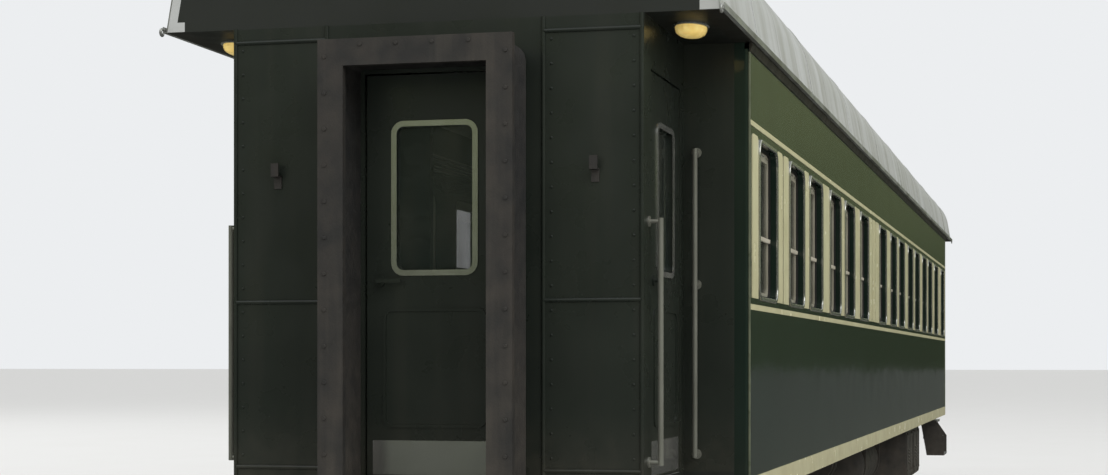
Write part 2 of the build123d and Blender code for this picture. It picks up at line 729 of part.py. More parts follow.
def gangway_ring(inner_rim, outer_rim):
    """Draw a ring round the gangway doorway, set out from it by the two rims."""
    with Locations((0, DOOR_MIDDLE_Z)):
        Rectangle(GANGWAY_DOORWAY_WIDTH + 2 * outer_rim, DOORWAY_HEIGHT + 2 * outer_rim)
        Rectangle(
            GANGWAY_DOORWAY_WIDTH + 2 * inner_rim,
            DOORWAY_HEIGHT + 2 * inner_rim,
            mode=Mode.SUBTRACT,
        )


# Gangway bellows between the end wall and the faceplate
with BuildPart() as gangway_bellows:
    with BuildSketch(Plane.YZ.offset(HALF_BODY)):
        gangway_ring(BELLOWS_INNER_GAP, BELLOWS_RIM)
    extrude(amount=GANGWAY_REACH - FACEPLATE_THICKNESS)
    mirror(about=Plane.YZ)
save(gangway_bellows, "gangway_bellows")

# Gangway faceplates with the tread plate that leads to them
with BuildPart() as gangway_faceplates:
    with BuildSketch(Plane.YZ.offset(HALF_BODY + GANGWAY_REACH - FACEPLATE_THICKNESS)):
        gangway_ring(0, FACEPLATE_RIM)
    extrude(amount=FACEPLATE_THICKNESS)
    with BuildSketch(Plane.XY.offset(FLOOR_TOP - BELLOWS_INNER_GAP)):
        with Locations((HALF_BODY, 0)):
            Rectangle(GANGWAY_REACH, GANGWAY_DOORWAY_WIDTH, align=(Align.MIN, Align.CENTER))
    extrude(amount=BELLOWS_INNER_GAP)
    mirror(about=Plane.YZ)
save(gangway_faceplates, "gangway_faceplates")


def grab_rail(foot_plane, bottom, top, bracket_heights):
    """Add a vertical rail on stand-off brackets, whose plane's local Y points up."""
    with BuildSketch(foot_plane) as feet:
        with Locations(*[(0, height) for height in bracket_heights]):
            Circle(HANDRAIL_FOOT_RADIUS)
    extrude(feet.sketch, amount=HANDRAIL_FOOT_THICKNESS)
    with BuildSketch(foot_plane) as brackets:
        with Locations(*[(0, height) for height in bracket_heights]):
            Circle(HANDRAIL_BRACKET_RADIUS)
    extrude(brackets.sketch, amount=HANDRAIL_STAND_OFF)
    axis_point = foot_plane.from_local_coords((0, 0, HANDRAIL_STAND_OFF))
    with BuildSketch(Plane.XY.offset(bottom)) as rail:
        with Locations((axis_point.X, axis_point.Y)):
            Circle(HANDRAIL_RADIUS)
    extrude(rail.sketch, amount=top - bottom)


# Handrails beside each entrance, on the recess wall and at the corner of the end wall
with BuildPart() as handrails:
    rail_bottom = SIDE_BOTTOM + HANDRAIL_BOTTOM
    rail_top = SIDE_BOTTOM + HANDRAIL_TOP
    grab_rail(
        Plane(
            origin=(HALF_SIDE, HALF_WIDTH - HANDRAIL_FROM_SIDE, 0),
            x_dir=(0, 1, 0),
            z_dir=(1, 0, 0),
        ),
        rail_bottom,
        rail_top,
        (
            rail_bottom + RAIL_END_MARGIN,
            SIDE_BOTTOM + HANDRAIL_MIDDLE,
            rail_top - RAIL_END_MARGIN,
        ),
    )
    corner_rail_top = SIDE_BOTTOM + CORNER_RAIL_TOP
    grab_rail(
        Plane(
            origin=(HALF_BODY - CORNER_RAIL_FROM_END, VESTIBULE_Y, 0),
            x_dir=(-1, 0, 0),
            z_dir=(0, 1, 0),
        ),
        rail_bottom,
        corner_rail_top,
        (rail_bottom + RAIL_END_MARGIN, corner_rail_top - RAIL_END_MARGIN),
    )
    mirror(about=Plane.XZ)
    mirror(about=Plane.YZ)
save(handrails, "handrails")

# Oval lamps under the roof over each entrance
with BuildPart() as recess_lamps:
    lamp_x = HALF_SIDE + LAMP_FROM_RECESS_WALL
    lamp_y = HALF_WIDTH - LAMP_FROM_SIDE
    with BuildSketch(Plane.XY.offset(EAVE_Z - LAMP_BASE_THICKNESS)):
        with Locations((lamp_x, lamp_y)):
            Ellipse(LAMP_LENGTH / 2, LAMP_WIDTH / 2)
    extrude(amount=LAMP_BASE_THICKNESS)
    with BuildSketch(Plane.XY.offset(EAVE_Z - LAMP_BASE_THICKNESS)):
        with Locations((lamp_x, lamp_y)):
            SlotOverall(LAMP_LENGTH - LAMP_BASE_THICKNESS, LAMP_WIDTH - LAMP_BASE_THICKNESS)
    extrude(amount=-LAMP_DROP, taper=LAMP_TAPER)
    mirror(about=Plane.XZ)
    mirror(about=Plane.YZ)
save(recess_lamps, "recess_lamps")

# Underframe: sole bars, cross bearers, body bolsters, headstocks and jacking pads
with BuildPart() as underframe:
    with BuildSketch(Plane.XY.offset(FRAME_BOTTOM)):
        sole_bar_y = WALL_INNER_Y - SOLE_BAR_WIDTH / 2
        with Locations((0, sole_bar_y), (0, -sole_bar_y)):
            Rectangle(SIDE_LENGTH, SOLE_BAR_WIDTH)
        end_bar_y = VESTIBULE_Y - SOLE_BAR_WIDTH / 2
        end_bar_x = HALF_BODY - RECESS_LENGTH / 2
        with GridLocations(2 * end_bar_x, 2 * end_bar_y, 2, 2):
            Rectangle(RECESS_LENGTH, SOLE_BAR_WIDTH)
        for x in CROSS_BEARER_X:
            with Locations((x, 0), (-x, 0)):
                Rectangle(CROSS_BEARER_WIDTH, 2 * WALL_INNER_Y)
        with GridLocations(BOGIE_CENTRES, 0, 2, 1):
            Rectangle(BODY_BOLSTER_WIDTH, 2 * WALL_INNER_Y)
        with GridLocations(BODY_LENGTH - HEADSTOCK_THICKNESS, 0, 2, 1):
            Rectangle(HEADSTOCK_THICKNESS, 2 * VESTIBULE_Y)
    extrude(amount=SOLE_BAR_DEPTH)
    with BuildSketch(Plane.XY.offset(FRAME_BOTTOM)):
        with GridLocations(BOGIE_CENTRES, 2 * SIDE_BEARER_Y, 2, 2):
            Rectangle(SIDE_BEARER_LENGTH, SIDE_BEARER_WIDTH)
    extrude(amount=-(FRAME_BOTTOM - BOLSTER_TOP - SIDE_BEARER_HEIGHT - BOGIE_SWIVEL_GAP))
    with BuildSketch(Plane.XY.offset(FRAME_BOTTOM)):
        with GridLocations(BOGIE_CENTRES, 2 * sole_bar_y, 2, 2):
            Rectangle(JACKING_PAD_LENGTH, SOLE_BAR_WIDTH)
    extrude(amount=-JACKING_PAD_DEPTH)
save(underframe, "underframe")

# Centre sills with the draft blocks, the coupler passages and the bogie pivots
CENTRE_PLATE_Z = BOLSTER_TOP + BOGIE_SWIVEL_GAP
with BuildPart() as centre_sills:
    with BuildSketch(Plane.XY.offset(FRAME_BOTTOM)):
        with GridLocations(0, 2 * CENTRE_SILL_Y, 1, 2):
            Rectangle(BODY_LENGTH - 2 * HEADSTOCK_THICKNESS, CENTRE_SILL_WIDTH)
        for x in CROSS_BEARER_X:
            with Locations((x, 0), (-x, 0)):
                Rectangle(CROSS_BEARER_WIDTH, 2 * CENTRE_SILL_Y)
        with Locations((DRAFT_BLOCK_X, 0), (-DRAFT_BLOCK_X, 0)):
            Rectangle(DRAFT_BLOCK_LENGTH, 2 * CENTRE_SILL_Y)
        with GridLocations(BOGIE_CENTRES, 0, 2, 1):
            Rectangle(BODY_BOLSTER_WIDTH, 2 * CENTRE_SILL_Y)
    extrude(amount=-CENTRE_SILL_DEPTH)
    with BuildSketch(Plane.YZ.offset(HALF_BODY - HEADSTOCK_THICKNESS)):
        with Locations((0, FRAME_BOTTOM)):
            Rectangle(
                2 * DRAFT_PLATE_HALF_WIDTH, DRAFT_PLATE_DEPTH, align=(Align.CENTER, Align.MAX)
            )
        with Locations((0, COUPLER_Z)):
            Rectangle(SHANK_PASSAGE_WIDTH, SHANK_PASSAGE_HEIGHT, mode=Mode.SUBTRACT)
    draft_plate = extrude(amount=HEADSTOCK_THICKNESS)
    mirror(draft_plate, about=Plane.YZ)
    with BuildSketch(Plane.XY.offset(CENTRE_PLATE_Z)):
        with GridLocations(BOGIE_CENTRES, 0, 2, 1):
            Circle(CENTRE_PLATE_RADIUS)
    extrude(amount=FRAME_BOTTOM - CENTRE_SILL_DEPTH - CENTRE_PLATE_Z)
    with BuildSketch(Plane.XY.offset(CENTRE_PLATE_Z)):
        with GridLocations(BOGIE_CENTRES, 0, 2, 1):
            Circle(PIVOT_PIN_RADIUS)
    extrude(amount=-PIVOT_PIN_LENGTH)
save(centre_sills, "centre_sills")

# Knuckle couplers: shank, head with guard arm, and knuckle with its pin hole
SHANK_START_X = DRAFT_BLOCK_X + DRAFT_BLOCK_LENGTH / 2
HEAD_X = HALF_BODY + COUPLER_HEAD_REACH
with BuildPart() as coupler:
    with BuildSketch(Plane.YZ.offset(SHANK_START_X)):
        with Locations((0, COUPLER_Z)):
            Rectangle(COUPLER_SHANK, COUPLER_SHANK)
    extrude(amount=HEAD_X - SHANK_START_X)
    with BuildSketch(Plane.XY.offset(COUPLER_Z - COUPLER_HEAD_HEIGHT / 2)):
        with BuildLine():
            Polyline(*[(HEAD_X + x, y) for x, y in COUPLER_HEAD_OUTLINE], close=True)
        make_face()
    extrude(amount=COUPLER_HEAD_HEIGHT)
    with BuildSketch(Plane.XY.offset(COUPLER_Z - KNUCKLE_HEIGHT / 2)):
        with BuildLine():
            Polyline(*[(HEAD_X + x, y) for x, y in KNUCKLE_OUTLINE], close=True)
        make_face()
    extrude(amount=KNUCKLE_HEIGHT)
    with BuildSketch(Plane.XY.offset(COUPLER_Z - KNUCKLE_HEIGHT / 2)):
        with Locations((HEAD_X + KNUCKLE_PIN_X, KNUCKLE_PIN_Y)):
            Circle(KNUCKLE_PIN_RADIUS)
    extrude(amount=KNUCKLE_HEIGHT, mode=Mode.SUBTRACT)

with BuildPart() as couplers:
    add(coupler.part)
    add(Rot(0, 0, 180) * coupler.part)
save(couplers, "couplers")

# Entrance steps, hung from the vestibule sole bars
STEP_X = SIDE_DOORWAY_X + SIDE_DOORWAY_WIDTH / 2
with BuildPart() as entrance_steps:
    lowest_tread = FLOOR_TOP - STEP_RISE * STEP_COUNT
    plate_bottom = lowest_tread - STEP_TREAD_THICKNESS
    outer_edge = HALF_WIDTH - CORNER_RADIUS
    for plate_sign in (-1, 1):
        plate_x = STEP_X + plate_sign * (STEP_WIDTH / 2 - STEP_SIDE_PLATE / 2)
        with BuildSketch(Plane.YZ.offset(plate_x - STEP_SIDE_PLATE / 2)):
            with BuildLine():
                Polyline(
                    (VESTIBULE_Y, FLOOR_BOTTOM),
                    (VESTIBULE_Y + STEP_PLATE_BACK, FLOOR_BOTTOM),
                    (outer_edge, lowest_tread + STEP_RISE),
                    (outer_edge, plate_bottom),
                    (outer_edge - STEP_TREAD_DEPTH, plate_bottom),
                    (VESTIBULE_Y, FRAME_BOTTOM),
                    close=True,
                )
            make_face()
        extrude(amount=STEP_SIDE_PLATE)
    for step in range(STEP_COUNT):
        tread_top = lowest_tread + step * STEP_RISE
        lean_in = step * (outer_edge - STEP_TREAD_DEPTH - VESTIBULE_Y) / (STEP_COUNT - 1)
        with BuildSketch(Plane.XY.offset(tread_top)):
            with Locations((STEP_X, outer_edge - lean_in)):
                Rectangle(STEP_WIDTH, STEP_TREAD_DEPTH, align=(Align.CENTER, Align.MAX))
        extrude(amount=-STEP_TREAD_THICKNESS)
    mirror(about=Plane.XZ)
    mirror(about=Plane.YZ)
save(entrance_steps, "entrance_steps")

# Battery boxes, one on each side, hung from the sole bars
with BuildPart() as battery_boxes:
    box = BATTERY_BOX
    with BuildSketch(Plane.XY.offset(FRAME_BOTTOM)):
        with Locations((box["x"], -box["y"]), (-box["x"], box["y"])):
            Rectangle(box["length"], box["width"])
    extrude(amount=-box["height"])
save(battery_boxes, "battery_boxes")


def slung_tank(tank, side_sign):
    """Add a tank along X, slung under the cross bearers by straps with their ears."""
    z = FRAME_BOTTOM - tank["radius"] - TANK_STRAP_THICKNESS
    y = side_sign * tank["y"]
    x = -side_sign * tank["x"]
    with BuildSketch(Plane.YZ.offset(x - tank["length"] / 2)) as shell:
        with Locations((y, z)):
            Circle(tank["radius"])
    extrude(shell.sketch, amount=tank["length"])
    for strap_sign in (-1, 1):
        strap_x = x + strap_sign * tank["strap_spacing"] / 2
        with BuildSketch(Plane.YZ.offset(strap_x - TANK_STRAP_WIDTH / 2)) as strap:
            with Locations((y, z)):
                Circle(tank["radius"] + TANK_STRAP_THICKNESS)
            with Locations((y, FRAME_BOTTOM)):
                Rectangle(
                    2 * tank["radius"] + 2 * TANK_STRAP_THICKNESS,
                    tank["radius"] + TANK_STRAP_THICKNESS,
                    align=(Align.CENTER, Align.MAX),
                )
        extrude(strap.sketch, amount=TANK_STRAP_WIDTH)


# Water tanks and brake cylinders
with BuildPart() as water_tanks:
    for side, side_sign in SIDES:
        slung_tank(WATER_TANK, side_sign)
save(water_tanks, "water_tanks")

with BuildPart() as brake_cylinders:
    for side, side_sign in SIDES:
        slung_tank(BRAKE_CYLINDER, side_sign)
save(brake_cylinders, "brake_cylinders")


# Seat frames: back to back benches either side of the aisle
def seat_places():
    """Return X and Y of the middle of each back board."""
    spans = pillar_spans()
    y = WALL_INNER_Y - SEAT_WALL_GAP - SEAT_LENGTH / 2
    middles = [(spans[pillar][0] + spans[pillar][1]) / 2 for pillar in SEAT_PILLARS]
    return [(x, side_sign * y) for x in middles for side, side_sign in SIDES]


with BuildPart() as seat_frames:
    with BuildSketch(Plane.XY.offset(FLOOR_TOP)):
        with Locations(*seat_places()):
            Rectangle(2 * SEAT_DEPTH, SEAT_LENGTH)
    extrude(amount=SEAT_BASE_HEIGHT)
    with BuildSketch(Plane.XY.offset(FLOOR_TOP)):
        with Locations(*seat_places()):
            Rectangle(SEAT_BACK_BOARD, SEAT_LENGTH)
    extrude(amount=SEAT_BACK_TOP)
save(seat_frames, "seat_frames")

# Seat cushions and back cushions
with BuildPart() as seat_cushions:
    cushion_depth = SEAT_DEPTH - SEAT_BACK_BOARD / 2
    cushion_offset = SEAT_BACK_BOARD / 2 + cushion_depth / 2
    back_offset = SEAT_BACK_BOARD / 2 + SEAT_BACK_CUSHION / 2
    cushion_z = FLOOR_TOP + SEAT_BASE_HEIGHT
    for facing in (-1, 1):
        with BuildSketch(Plane.XY.offset(cushion_z)):
            with Locations(*[(x + facing * cushion_offset, y) for x, y in seat_places()]):
                Rectangle(cushion_depth, SEAT_LENGTH)
        extrude(amount=SEAT_CUSHION)
        with BuildSketch(Plane.XY.offset(cushion_z + SEAT_CUSHION)):
            with Locations(*[(x + facing * back_offset, y) for x, y in seat_places()]):
                Rectangle(SEAT_BACK_CUSHION, SEAT_LENGTH)
        extrude(amount=FLOOR_TOP + SEAT_BACK_TOP - cushion_z - SEAT_CUSHION)
save(seat_cushions, "seat_cushions")

# Bogie frame, drawn about the middle of the bogie
HALF_WHEELBASE = BOGIE_WHEELBASE / 2
HALF_BOGIE = BOGIE_LENGTH / 2
SIDE_FRAME_INNER = SIDE_FRAME_Y - SIDE_FRAME_THICKNESS / 2
SIDE_FRAME_OUTER = SIDE_FRAME_Y + SIDE_FRAME_THICKNESS / 2
SIDE_FRAME_BOTTOM = SIDE_FRAME_TOP - SIDE_FRAME_DEPTH
SLOT_HALF_WIDTH = AXLEBOX_WIDTH / 2 + AXLEBOX_CLEARANCE
LEG_OUTER = SLOT_HALF_WIDTH + PEDESTAL_LEG_WIDTH
with BuildPart() as bogie_frame:
    with BuildSketch(Plane.XZ.offset(-SIDE_FRAME_INNER)):
        with Locations((0, SIDE_FRAME_TOP)):
            Rectangle(BOGIE_LENGTH, SIDE_FRAME_DEPTH, align=(Align.CENTER, Align.MAX))
            Trapezoid(
                2 * SIDE_FRAME_DROP_HALF_LENGTH,
                SIDE_FRAME_DROP_DEPTH,
                SIDE_FRAME_DROP_ANGLE,
                rotation=180,
                align=(Align.CENTER, Align.MIN),
            )
        with GridLocations(BOGIE_WHEELBASE, 0, 2, 1):
            with Locations((0, SIDE_FRAME_TOP)):
                Rectangle(
                    2 * LEG_OUTER, SIDE_FRAME_TOP - PEDESTAL_BOTTOM, align=(Align.CENTER, Align.MAX)
                )
            with Locations((0, SIDE_FRAME_BOTTOM)):
                Rectangle(
                    2 * SLOT_HALF_WIDTH,
                    SIDE_FRAME_BOTTOM - PEDESTAL_BOTTOM - PEDESTAL_TIE_DEPTH,
                    align=(Align.CENTER, Align.MAX),
                    mode=Mode.SUBTRACT,
                )
    extrude(amount=-SIDE_FRAME_THICKNESS)
    mirror(about=Plane.XZ)
    with BuildSketch(Plane.XY.offset(TRANSOM_TOP)):
        with GridLocations(2 * TRANSOM_X, 0, 2, 1):
            Rectangle(TRANSOM_THICKNESS, 2 * SIDE_FRAME_INNER)
    extrude(amount=-TRANSOM_DEPTH)
    with BuildSketch(Plane.XY.offset(END_BEAM_TOP)):
        with GridLocations(BOGIE_LENGTH - END_BEAM_THICKNESS, 0, 2, 1):
            Rectangle(END_BEAM_THICKNESS, 2 * SIDE_FRAME_INNER)
    extrude(amount=-END_BEAM_DEPTH)

# Axleboxes with the equaliser bars that rest on them, one set on each side
with BuildPart() as bogie_axleboxes:
    box_inner = SIDE_FRAME_Y - AXLEBOX_DEPTH / 2
    bar_z = AXLE_Z + AXLEBOX_HEIGHT / 2
    low_z = bar_z - EQUALISER_DROP
    reach = HALF_WHEELBASE + EQUALISER_REACH
    outer_bend = HALF_WHEELBASE - EQUALISER_BEND_OUTER
    inner_bend = HALF_WHEELBASE - EQUALISER_BEND_INNER
    with BuildSketch(Plane.XZ.offset(-box_inner)):
        with GridLocations(BOGIE_WHEELBASE, 0, 2, 1):
            with Locations((0, AXLE_Z)):
                Rectangle(AXLEBOX_WIDTH, AXLEBOX_HEIGHT)
    extrude(amount=-AXLEBOX_DEPTH)
    with BuildSketch(Plane.XZ.offset(-box_inner - AXLEBOX_DEPTH)):
        with GridLocations(BOGIE_WHEELBASE, 0, 2, 1):
            with Locations((0, AXLE_Z)):
                Circle(AXLEBOX_LID_RADIUS)
    extrude(amount=-AXLEBOX_LID_THICKNESS)
    inner_bar_y = SIDE_FRAME_INNER - EQUALISER_SIDE_GAP - EQUALISER_THICKNESS
    for bar_y in (inner_bar_y, SIDE_FRAME_OUTER + EQUALISER_SIDE_GAP):
        with BuildSketch(Plane.XZ.offset(-bar_y)):
            with BuildLine():
                Polyline(
                    (-reach, bar_z),
                    (-outer_bend, bar_z),
                    (-inner_bend, low_z),
                    (inner_bend, low_z),
                    (outer_bend, bar_z),
                    (reach, bar_z),
                    (reach, bar_z + EQUALISER_DEPTH),
                    (outer_bend - EQUALISER_DEPTH / 2, bar_z + EQUALISER_DEPTH),
                    (inner_bend - EQUALISER_DEPTH / 2, low_z + EQUALISER_DEPTH),
                    (EQUALISER_DEPTH / 2 - inner_bend, low_z + EQUALISER_DEPTH),
                    (EQUALISER_DEPTH / 2 - outer_bend, bar_z + EQUALISER_DEPTH),
                    (-reach, bar_z + EQUALISER_DEPTH),
                    close=True,
                )
            make_face()
        extrude(amount=-EQUALISER_THICKNESS)
    with BuildSketch(Plane.XZ.offset(-box_inner)):
        with GridLocations(BOGIE_WHEELBASE, 0, 2, 1):
            with Locations((0, AXLE_Z)):
                Circle(JOURNAL_RADIUS + JOURNAL_CLEARANCE)
    extrude(amount=-(JOURNAL_END_Y + AXLEBOX_CLEARANCE - box_inner), mode=Mode.SUBTRACT)
    mirror(about=Plane.XZ)

# Coil springs over the equalisers and leaf springs under the bolster, with their seats
with BuildPart() as bogie_springs:
    coil_bottom = low_z + EQUALISER_DEPTH
    coil_height = SIDE_FRAME_BOTTOM - coil_bottom
    seat_width = 2 * (COIL_RADIUS + COIL_SEAT_THICKNESS)
    for seat_z in (coil_bottom, SIDE_FRAME_BOTTOM - COIL_SEAT_THICKNESS):
        with BuildSketch(Plane.XY.offset(seat_z)):
            with GridLocations(2 * COIL_X, 2 * SIDE_FRAME_Y, 2, 2):
                Rectangle(seat_width, seat_width)
        extrude(amount=COIL_SEAT_THICKNESS)
    with BuildSketch(Plane.XY.offset(coil_bottom)):
        with GridLocations(2 * COIL_X, 2 * SIDE_FRAME_Y, 2, 2):
            Circle(COIL_RADIUS)
    extrude(amount=coil_height)
    bolster_bottom = BOLSTER_TOP - BOLSTER_DEPTH
    spring_middle = (bolster_bottom + PLANK_TOP) / 2
    half_spring = LEAF_SPRING_LENGTH / 2
    with BuildSketch(Plane.YZ.offset(-LEAF_SPRING_HALF_WIDTH)):
        with BuildLine():
            Polyline(
                (LEAF_SPRING_Y - half_spring, spring_middle - LEAF_SPRING_TIP / 2),
                (LEAF_SPRING_Y - LEAF_BUCKLE_WIDTH / 2, PLANK_TOP),
                (LEAF_SPRING_Y + LEAF_BUCKLE_WIDTH / 2, PLANK_TOP),
                (LEAF_SPRING_Y + half_spring, spring_middle - LEAF_SPRING_TIP / 2),
                (LEAF_SPRING_Y + half_spring, spring_middle + LEAF_SPRING_TIP / 2),
                (LEAF_SPRING_Y + LEAF_BUCKLE_WIDTH / 2, bolster_bottom),
                (LEAF_SPRING_Y - LEAF_BUCKLE_WIDTH / 2, bolster_bottom),
                (LEAF_SPRING_Y - half_spring, spring_middle + LEAF_SPRING_TIP / 2),
                close=True,
            )
        make_face()
        mirror(about=Plane.YZ)
    extrude(amount=2 * LEAF_SPRING_HALF_WIDTH)

# Bolster with its side bearers and pivot hole, and the spring plank on its swing links
with BuildPart() as bogie_bolster:
    half_bolster = inner_bar_y - BOLSTER_END_GAP
    with BuildSketch(Plane.XY.offset(BOLSTER_TOP)):
        Rectangle(2 * BOLSTER_HALF_WIDTH, 2 * half_bolster)
        Circle(PIVOT_PIN_RADIUS + PIVOT_PIN_CLEARANCE, mode=Mode.SUBTRACT)
    extrude(amount=-BOLSTER_DEPTH)
    with BuildSketch(Plane.XY.offset(BOLSTER_TOP)):
        with GridLocations(0, 2 * SIDE_BEARER_Y, 1, 2):
            Rectangle(SIDE_BEARER_LENGTH, SIDE_BEARER_WIDTH)
    extrude(amount=SIDE_BEARER_HEIGHT)
    with BuildSketch(Plane.XY.offset(PLANK_TOP)):
        Rectangle(2 * BOLSTER_HALF_WIDTH, 2 * half_bolster)
    extrude(amount=-PLANK_THICKNESS)
    link_x = TRANSOM_X - TRANSOM_THICKNESS / 2
    link_thickness = link_x - BOLSTER_HALF_WIDTH
    link_y = LEAF_SPRING_Y
    with BuildSketch(Plane.XY.offset(PLANK_TOP - PLANK_THICKNESS)):
        with GridLocations(2 * (link_x - link_thickness / 2), 2 * link_y, 2, 2):
            Rectangle(link_thickness, SWING_LINK_WIDTH)
    extrude(amount=SWING_LINK_TOP - PLANK_TOP + PLANK_THICKNESS)

# Brake gear for each axle: blocks, beam, hangers and their brackets
with BuildPart() as bogie_brakes:
    inner_arc = WHEEL_TREAD_RADIUS + BRAKE_BLOCK_CLEARANCE
    outer_arc = inner_arc + BRAKE_BLOCK_THICKNESS
    block_y = WHEEL_BACK_TO_BACK / 2 + TYRE_WIDTH - BRAKE_BLOCK_WIDTH
    spread = 2 * BRAKE_BLOCK_HALF_ANGLE
    beam_x = HALF_WHEELBASE - outer_arc - BRAKE_BEAM_SETBACK + BRAKE_BEAM_RADIUS
    hanger_y = WHEEL_BACK_TO_BACK / 2 + TYRE_WIDTH + BRAKE_HANGER_GAP
    with BuildSketch(Plane.XZ.offset(-block_y)):
        with BuildLine():
            first = 180 - BRAKE_BLOCK_HALF_ANGLE
            inner = CenterArc((HALF_WHEELBASE, AXLE_Z), inner_arc, first, spread)
            outer = CenterArc((HALF_WHEELBASE, AXLE_Z), outer_arc, first, spread)
            Line(inner @ 0, outer @ 0)
            Line(inner @ 1, outer @ 1)
        make_face()
    extrude(amount=-BRAKE_BLOCK_WIDTH)
    mirror(about=Plane.XZ)
    with BuildSketch(Plane.XZ.offset(-hanger_y)):
        with Locations((beam_x, AXLE_Z)):
            Circle(BRAKE_BEAM_RADIUS)
    extrude(amount=2 * hanger_y)
    for hanger_sign in (-1, 1):
        hanger_middle = hanger_sign * (hanger_y + BRAKE_HANGER_THICKNESS / 2)
        with BuildSketch(Plane.XY.offset(AXLE_Z - BRAKE_HANGER_WIDTH)):
            with Locations((beam_x, hanger_middle)):
                Rectangle(BRAKE_HANGER_WIDTH, BRAKE_HANGER_THICKNESS)
        extrude(amount=SIDE_FRAME_TOP - END_BEAM_DEPTH - AXLE_Z + BRAKE_HANGER_WIDTH)
        bracket_length = SIDE_FRAME_INNER - hanger_y
        with BuildSketch(Plane.XY.offset(SIDE_FRAME_BOTTOM)):
            with Locations((beam_x, hanger_sign * (hanger_y + bracket_length / 2))):
                Rectangle(BRAKE_HANGER_WIDTH, bracket_length)
        extrude(amount=BRAKE_HANGER_WIDTH)
    mirror(about=Plane.YZ)

BOGIE_PIECES = (
    ("frame", bogie_frame),
    ("axleboxes", bogie_axleboxes),
    ("springs", bogie_springs),
    ("bolster", bogie_bolster),
    ("brakes", bogie_brakes),
)
for end, end_sign in ENDS:
    for piece_name, piece in BOGIE_PIECES:
        with BuildPart() as placed:
            with Locations((end_sign * BOGIE_CENTRES / 2, 0, 0)):
                add(piece.part)
        save(placed, f"bogie_{end}_{piece_name}")

# Wheelset: an axle with two wheels, turned as one about the axle's line
WHEEL_BACK = WHEEL_BACK_TO_BACK / 2
WHEEL_FACE = WHEEL_BACK + TYRE_WIDTH
FLANGE_RADIUS = WHEEL_TREAD_RADIUS + FLANGE_HEIGHT
RIM_INNER = WHEEL_TREAD_RADIUS - RIM_DEPTH
WEB_BACK = WHEEL_BACK + (TYRE_WIDTH - WHEEL_WEB_THICKNESS) / 2
WEB_FACE = WEB_BACK + WHEEL_WEB_THICKNESS
HUB_BACK = WHEEL_BACK - HUB_OVERHANG
HUB_FACE = HUB_BACK + HUB_LENGTH
FLANGE_SLOPE = FLANGE_THICKNESS / 3
with BuildPart() as wheelset:
    with BuildSketch(Plane.YZ):
        with BuildLine():
            Polyline(
                (0, 0),
                (0, AXLE_RADIUS),
                (HUB_BACK, AXLE_RADIUS),
                (HUB_BACK, HUB_RADIUS),
                (WEB_BACK, HUB_RADIUS),
                (WEB_BACK, RIM_INNER),
                (WHEEL_BACK, RIM_INNER),
                (WHEEL_BACK, FLANGE_RADIUS - FLANGE_SLOPE),
                (WHEEL_BACK + FLANGE_SLOPE, FLANGE_RADIUS),
                (WHEEL_BACK + 2 * FLANGE_SLOPE, FLANGE_RADIUS),
                (WHEEL_BACK + FLANGE_THICKNESS, WHEEL_TREAD_RADIUS),
                (WHEEL_FACE, WHEEL_TREAD_RADIUS - TREAD_CONING),
                (WHEEL_FACE, RIM_INNER),
                (WEB_FACE, RIM_INNER),
                (WEB_FACE, HUB_RADIUS),
                (HUB_FACE, HUB_RADIUS),
                (HUB_FACE, AXLE_RADIUS),
                (HUB_FACE + AXLE_SHOULDER, AXLE_RADIUS),
                (HUB_FACE + AXLE_SHOULDER, JOURNAL_RADIUS),
                (JOURNAL_END_Y, JOURNAL_RADIUS),
                (JOURNAL_END_Y, 0),
                close=True,
            )
        make_face()
        mirror(about=Plane.YZ)
    revolve(axis=Axis.Y)

wheelset_number = 0
for end, end_sign in ENDS:
    for axle_sign in (1, -1):
        wheelset_number += 1
        axle_x = end_sign * BOGIE_CENTRES / 2 + axle_sign * HALF_WHEELBASE
        with BuildPart() as placed:
            with Locations((axle_x, 0, AXLE_Z)):
                add(wheelset.part)
        save(placed, f"wheelset_{wheelset_number}")
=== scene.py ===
"""Dresses a main-line passenger coach over its fixed frame, with its camera and lights."""

import logging
import math
from dataclasses import dataclass
from enum import Enum
from itertools import product
from typing import Iterable, NamedTuple, Optional, Sequence

import bmesh
import bpy
from mathutils import Euler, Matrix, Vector


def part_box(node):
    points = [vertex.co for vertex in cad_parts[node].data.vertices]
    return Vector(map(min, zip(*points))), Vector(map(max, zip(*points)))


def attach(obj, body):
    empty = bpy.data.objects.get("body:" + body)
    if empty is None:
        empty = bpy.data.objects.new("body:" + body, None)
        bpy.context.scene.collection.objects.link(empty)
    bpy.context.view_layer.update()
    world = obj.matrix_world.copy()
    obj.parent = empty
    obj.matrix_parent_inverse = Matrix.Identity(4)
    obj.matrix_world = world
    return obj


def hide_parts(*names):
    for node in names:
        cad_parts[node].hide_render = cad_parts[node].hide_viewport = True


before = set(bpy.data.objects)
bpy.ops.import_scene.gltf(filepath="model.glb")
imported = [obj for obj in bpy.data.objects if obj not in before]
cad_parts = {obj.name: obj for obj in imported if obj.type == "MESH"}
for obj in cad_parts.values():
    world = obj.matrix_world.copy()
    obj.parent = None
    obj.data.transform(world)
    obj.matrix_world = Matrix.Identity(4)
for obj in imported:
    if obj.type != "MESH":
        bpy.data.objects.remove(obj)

logging.basicConfig(level=logging.INFO, format="%(message)s")
LOG = logging.getLogger("coach")

Color = tuple[float, float, float]
Point = tuple[float, float, float]
Flat = tuple[float, float]
Outline = tuple[Flat, ...]
Row = tuple[float, ...]
Size = tuple[float, float, float]
Socket = bpy.types.NodeSocket

BOTH = (-1, 1)
CORNERS = tuple(product(BOTH, BOTH))
QUARTER = math.pi / 2
SMOOTH_BELOW = math.radians(35)
COAT_ROUGHNESS = 0.05
GLASS_IOR = 1.5
NOISE_MIDDLE = (0.35, 0.65)
NOISE_MOST = (0.3, 0.7)
THIN_SIDES = 10
LEAST_RADIUS = 0.004


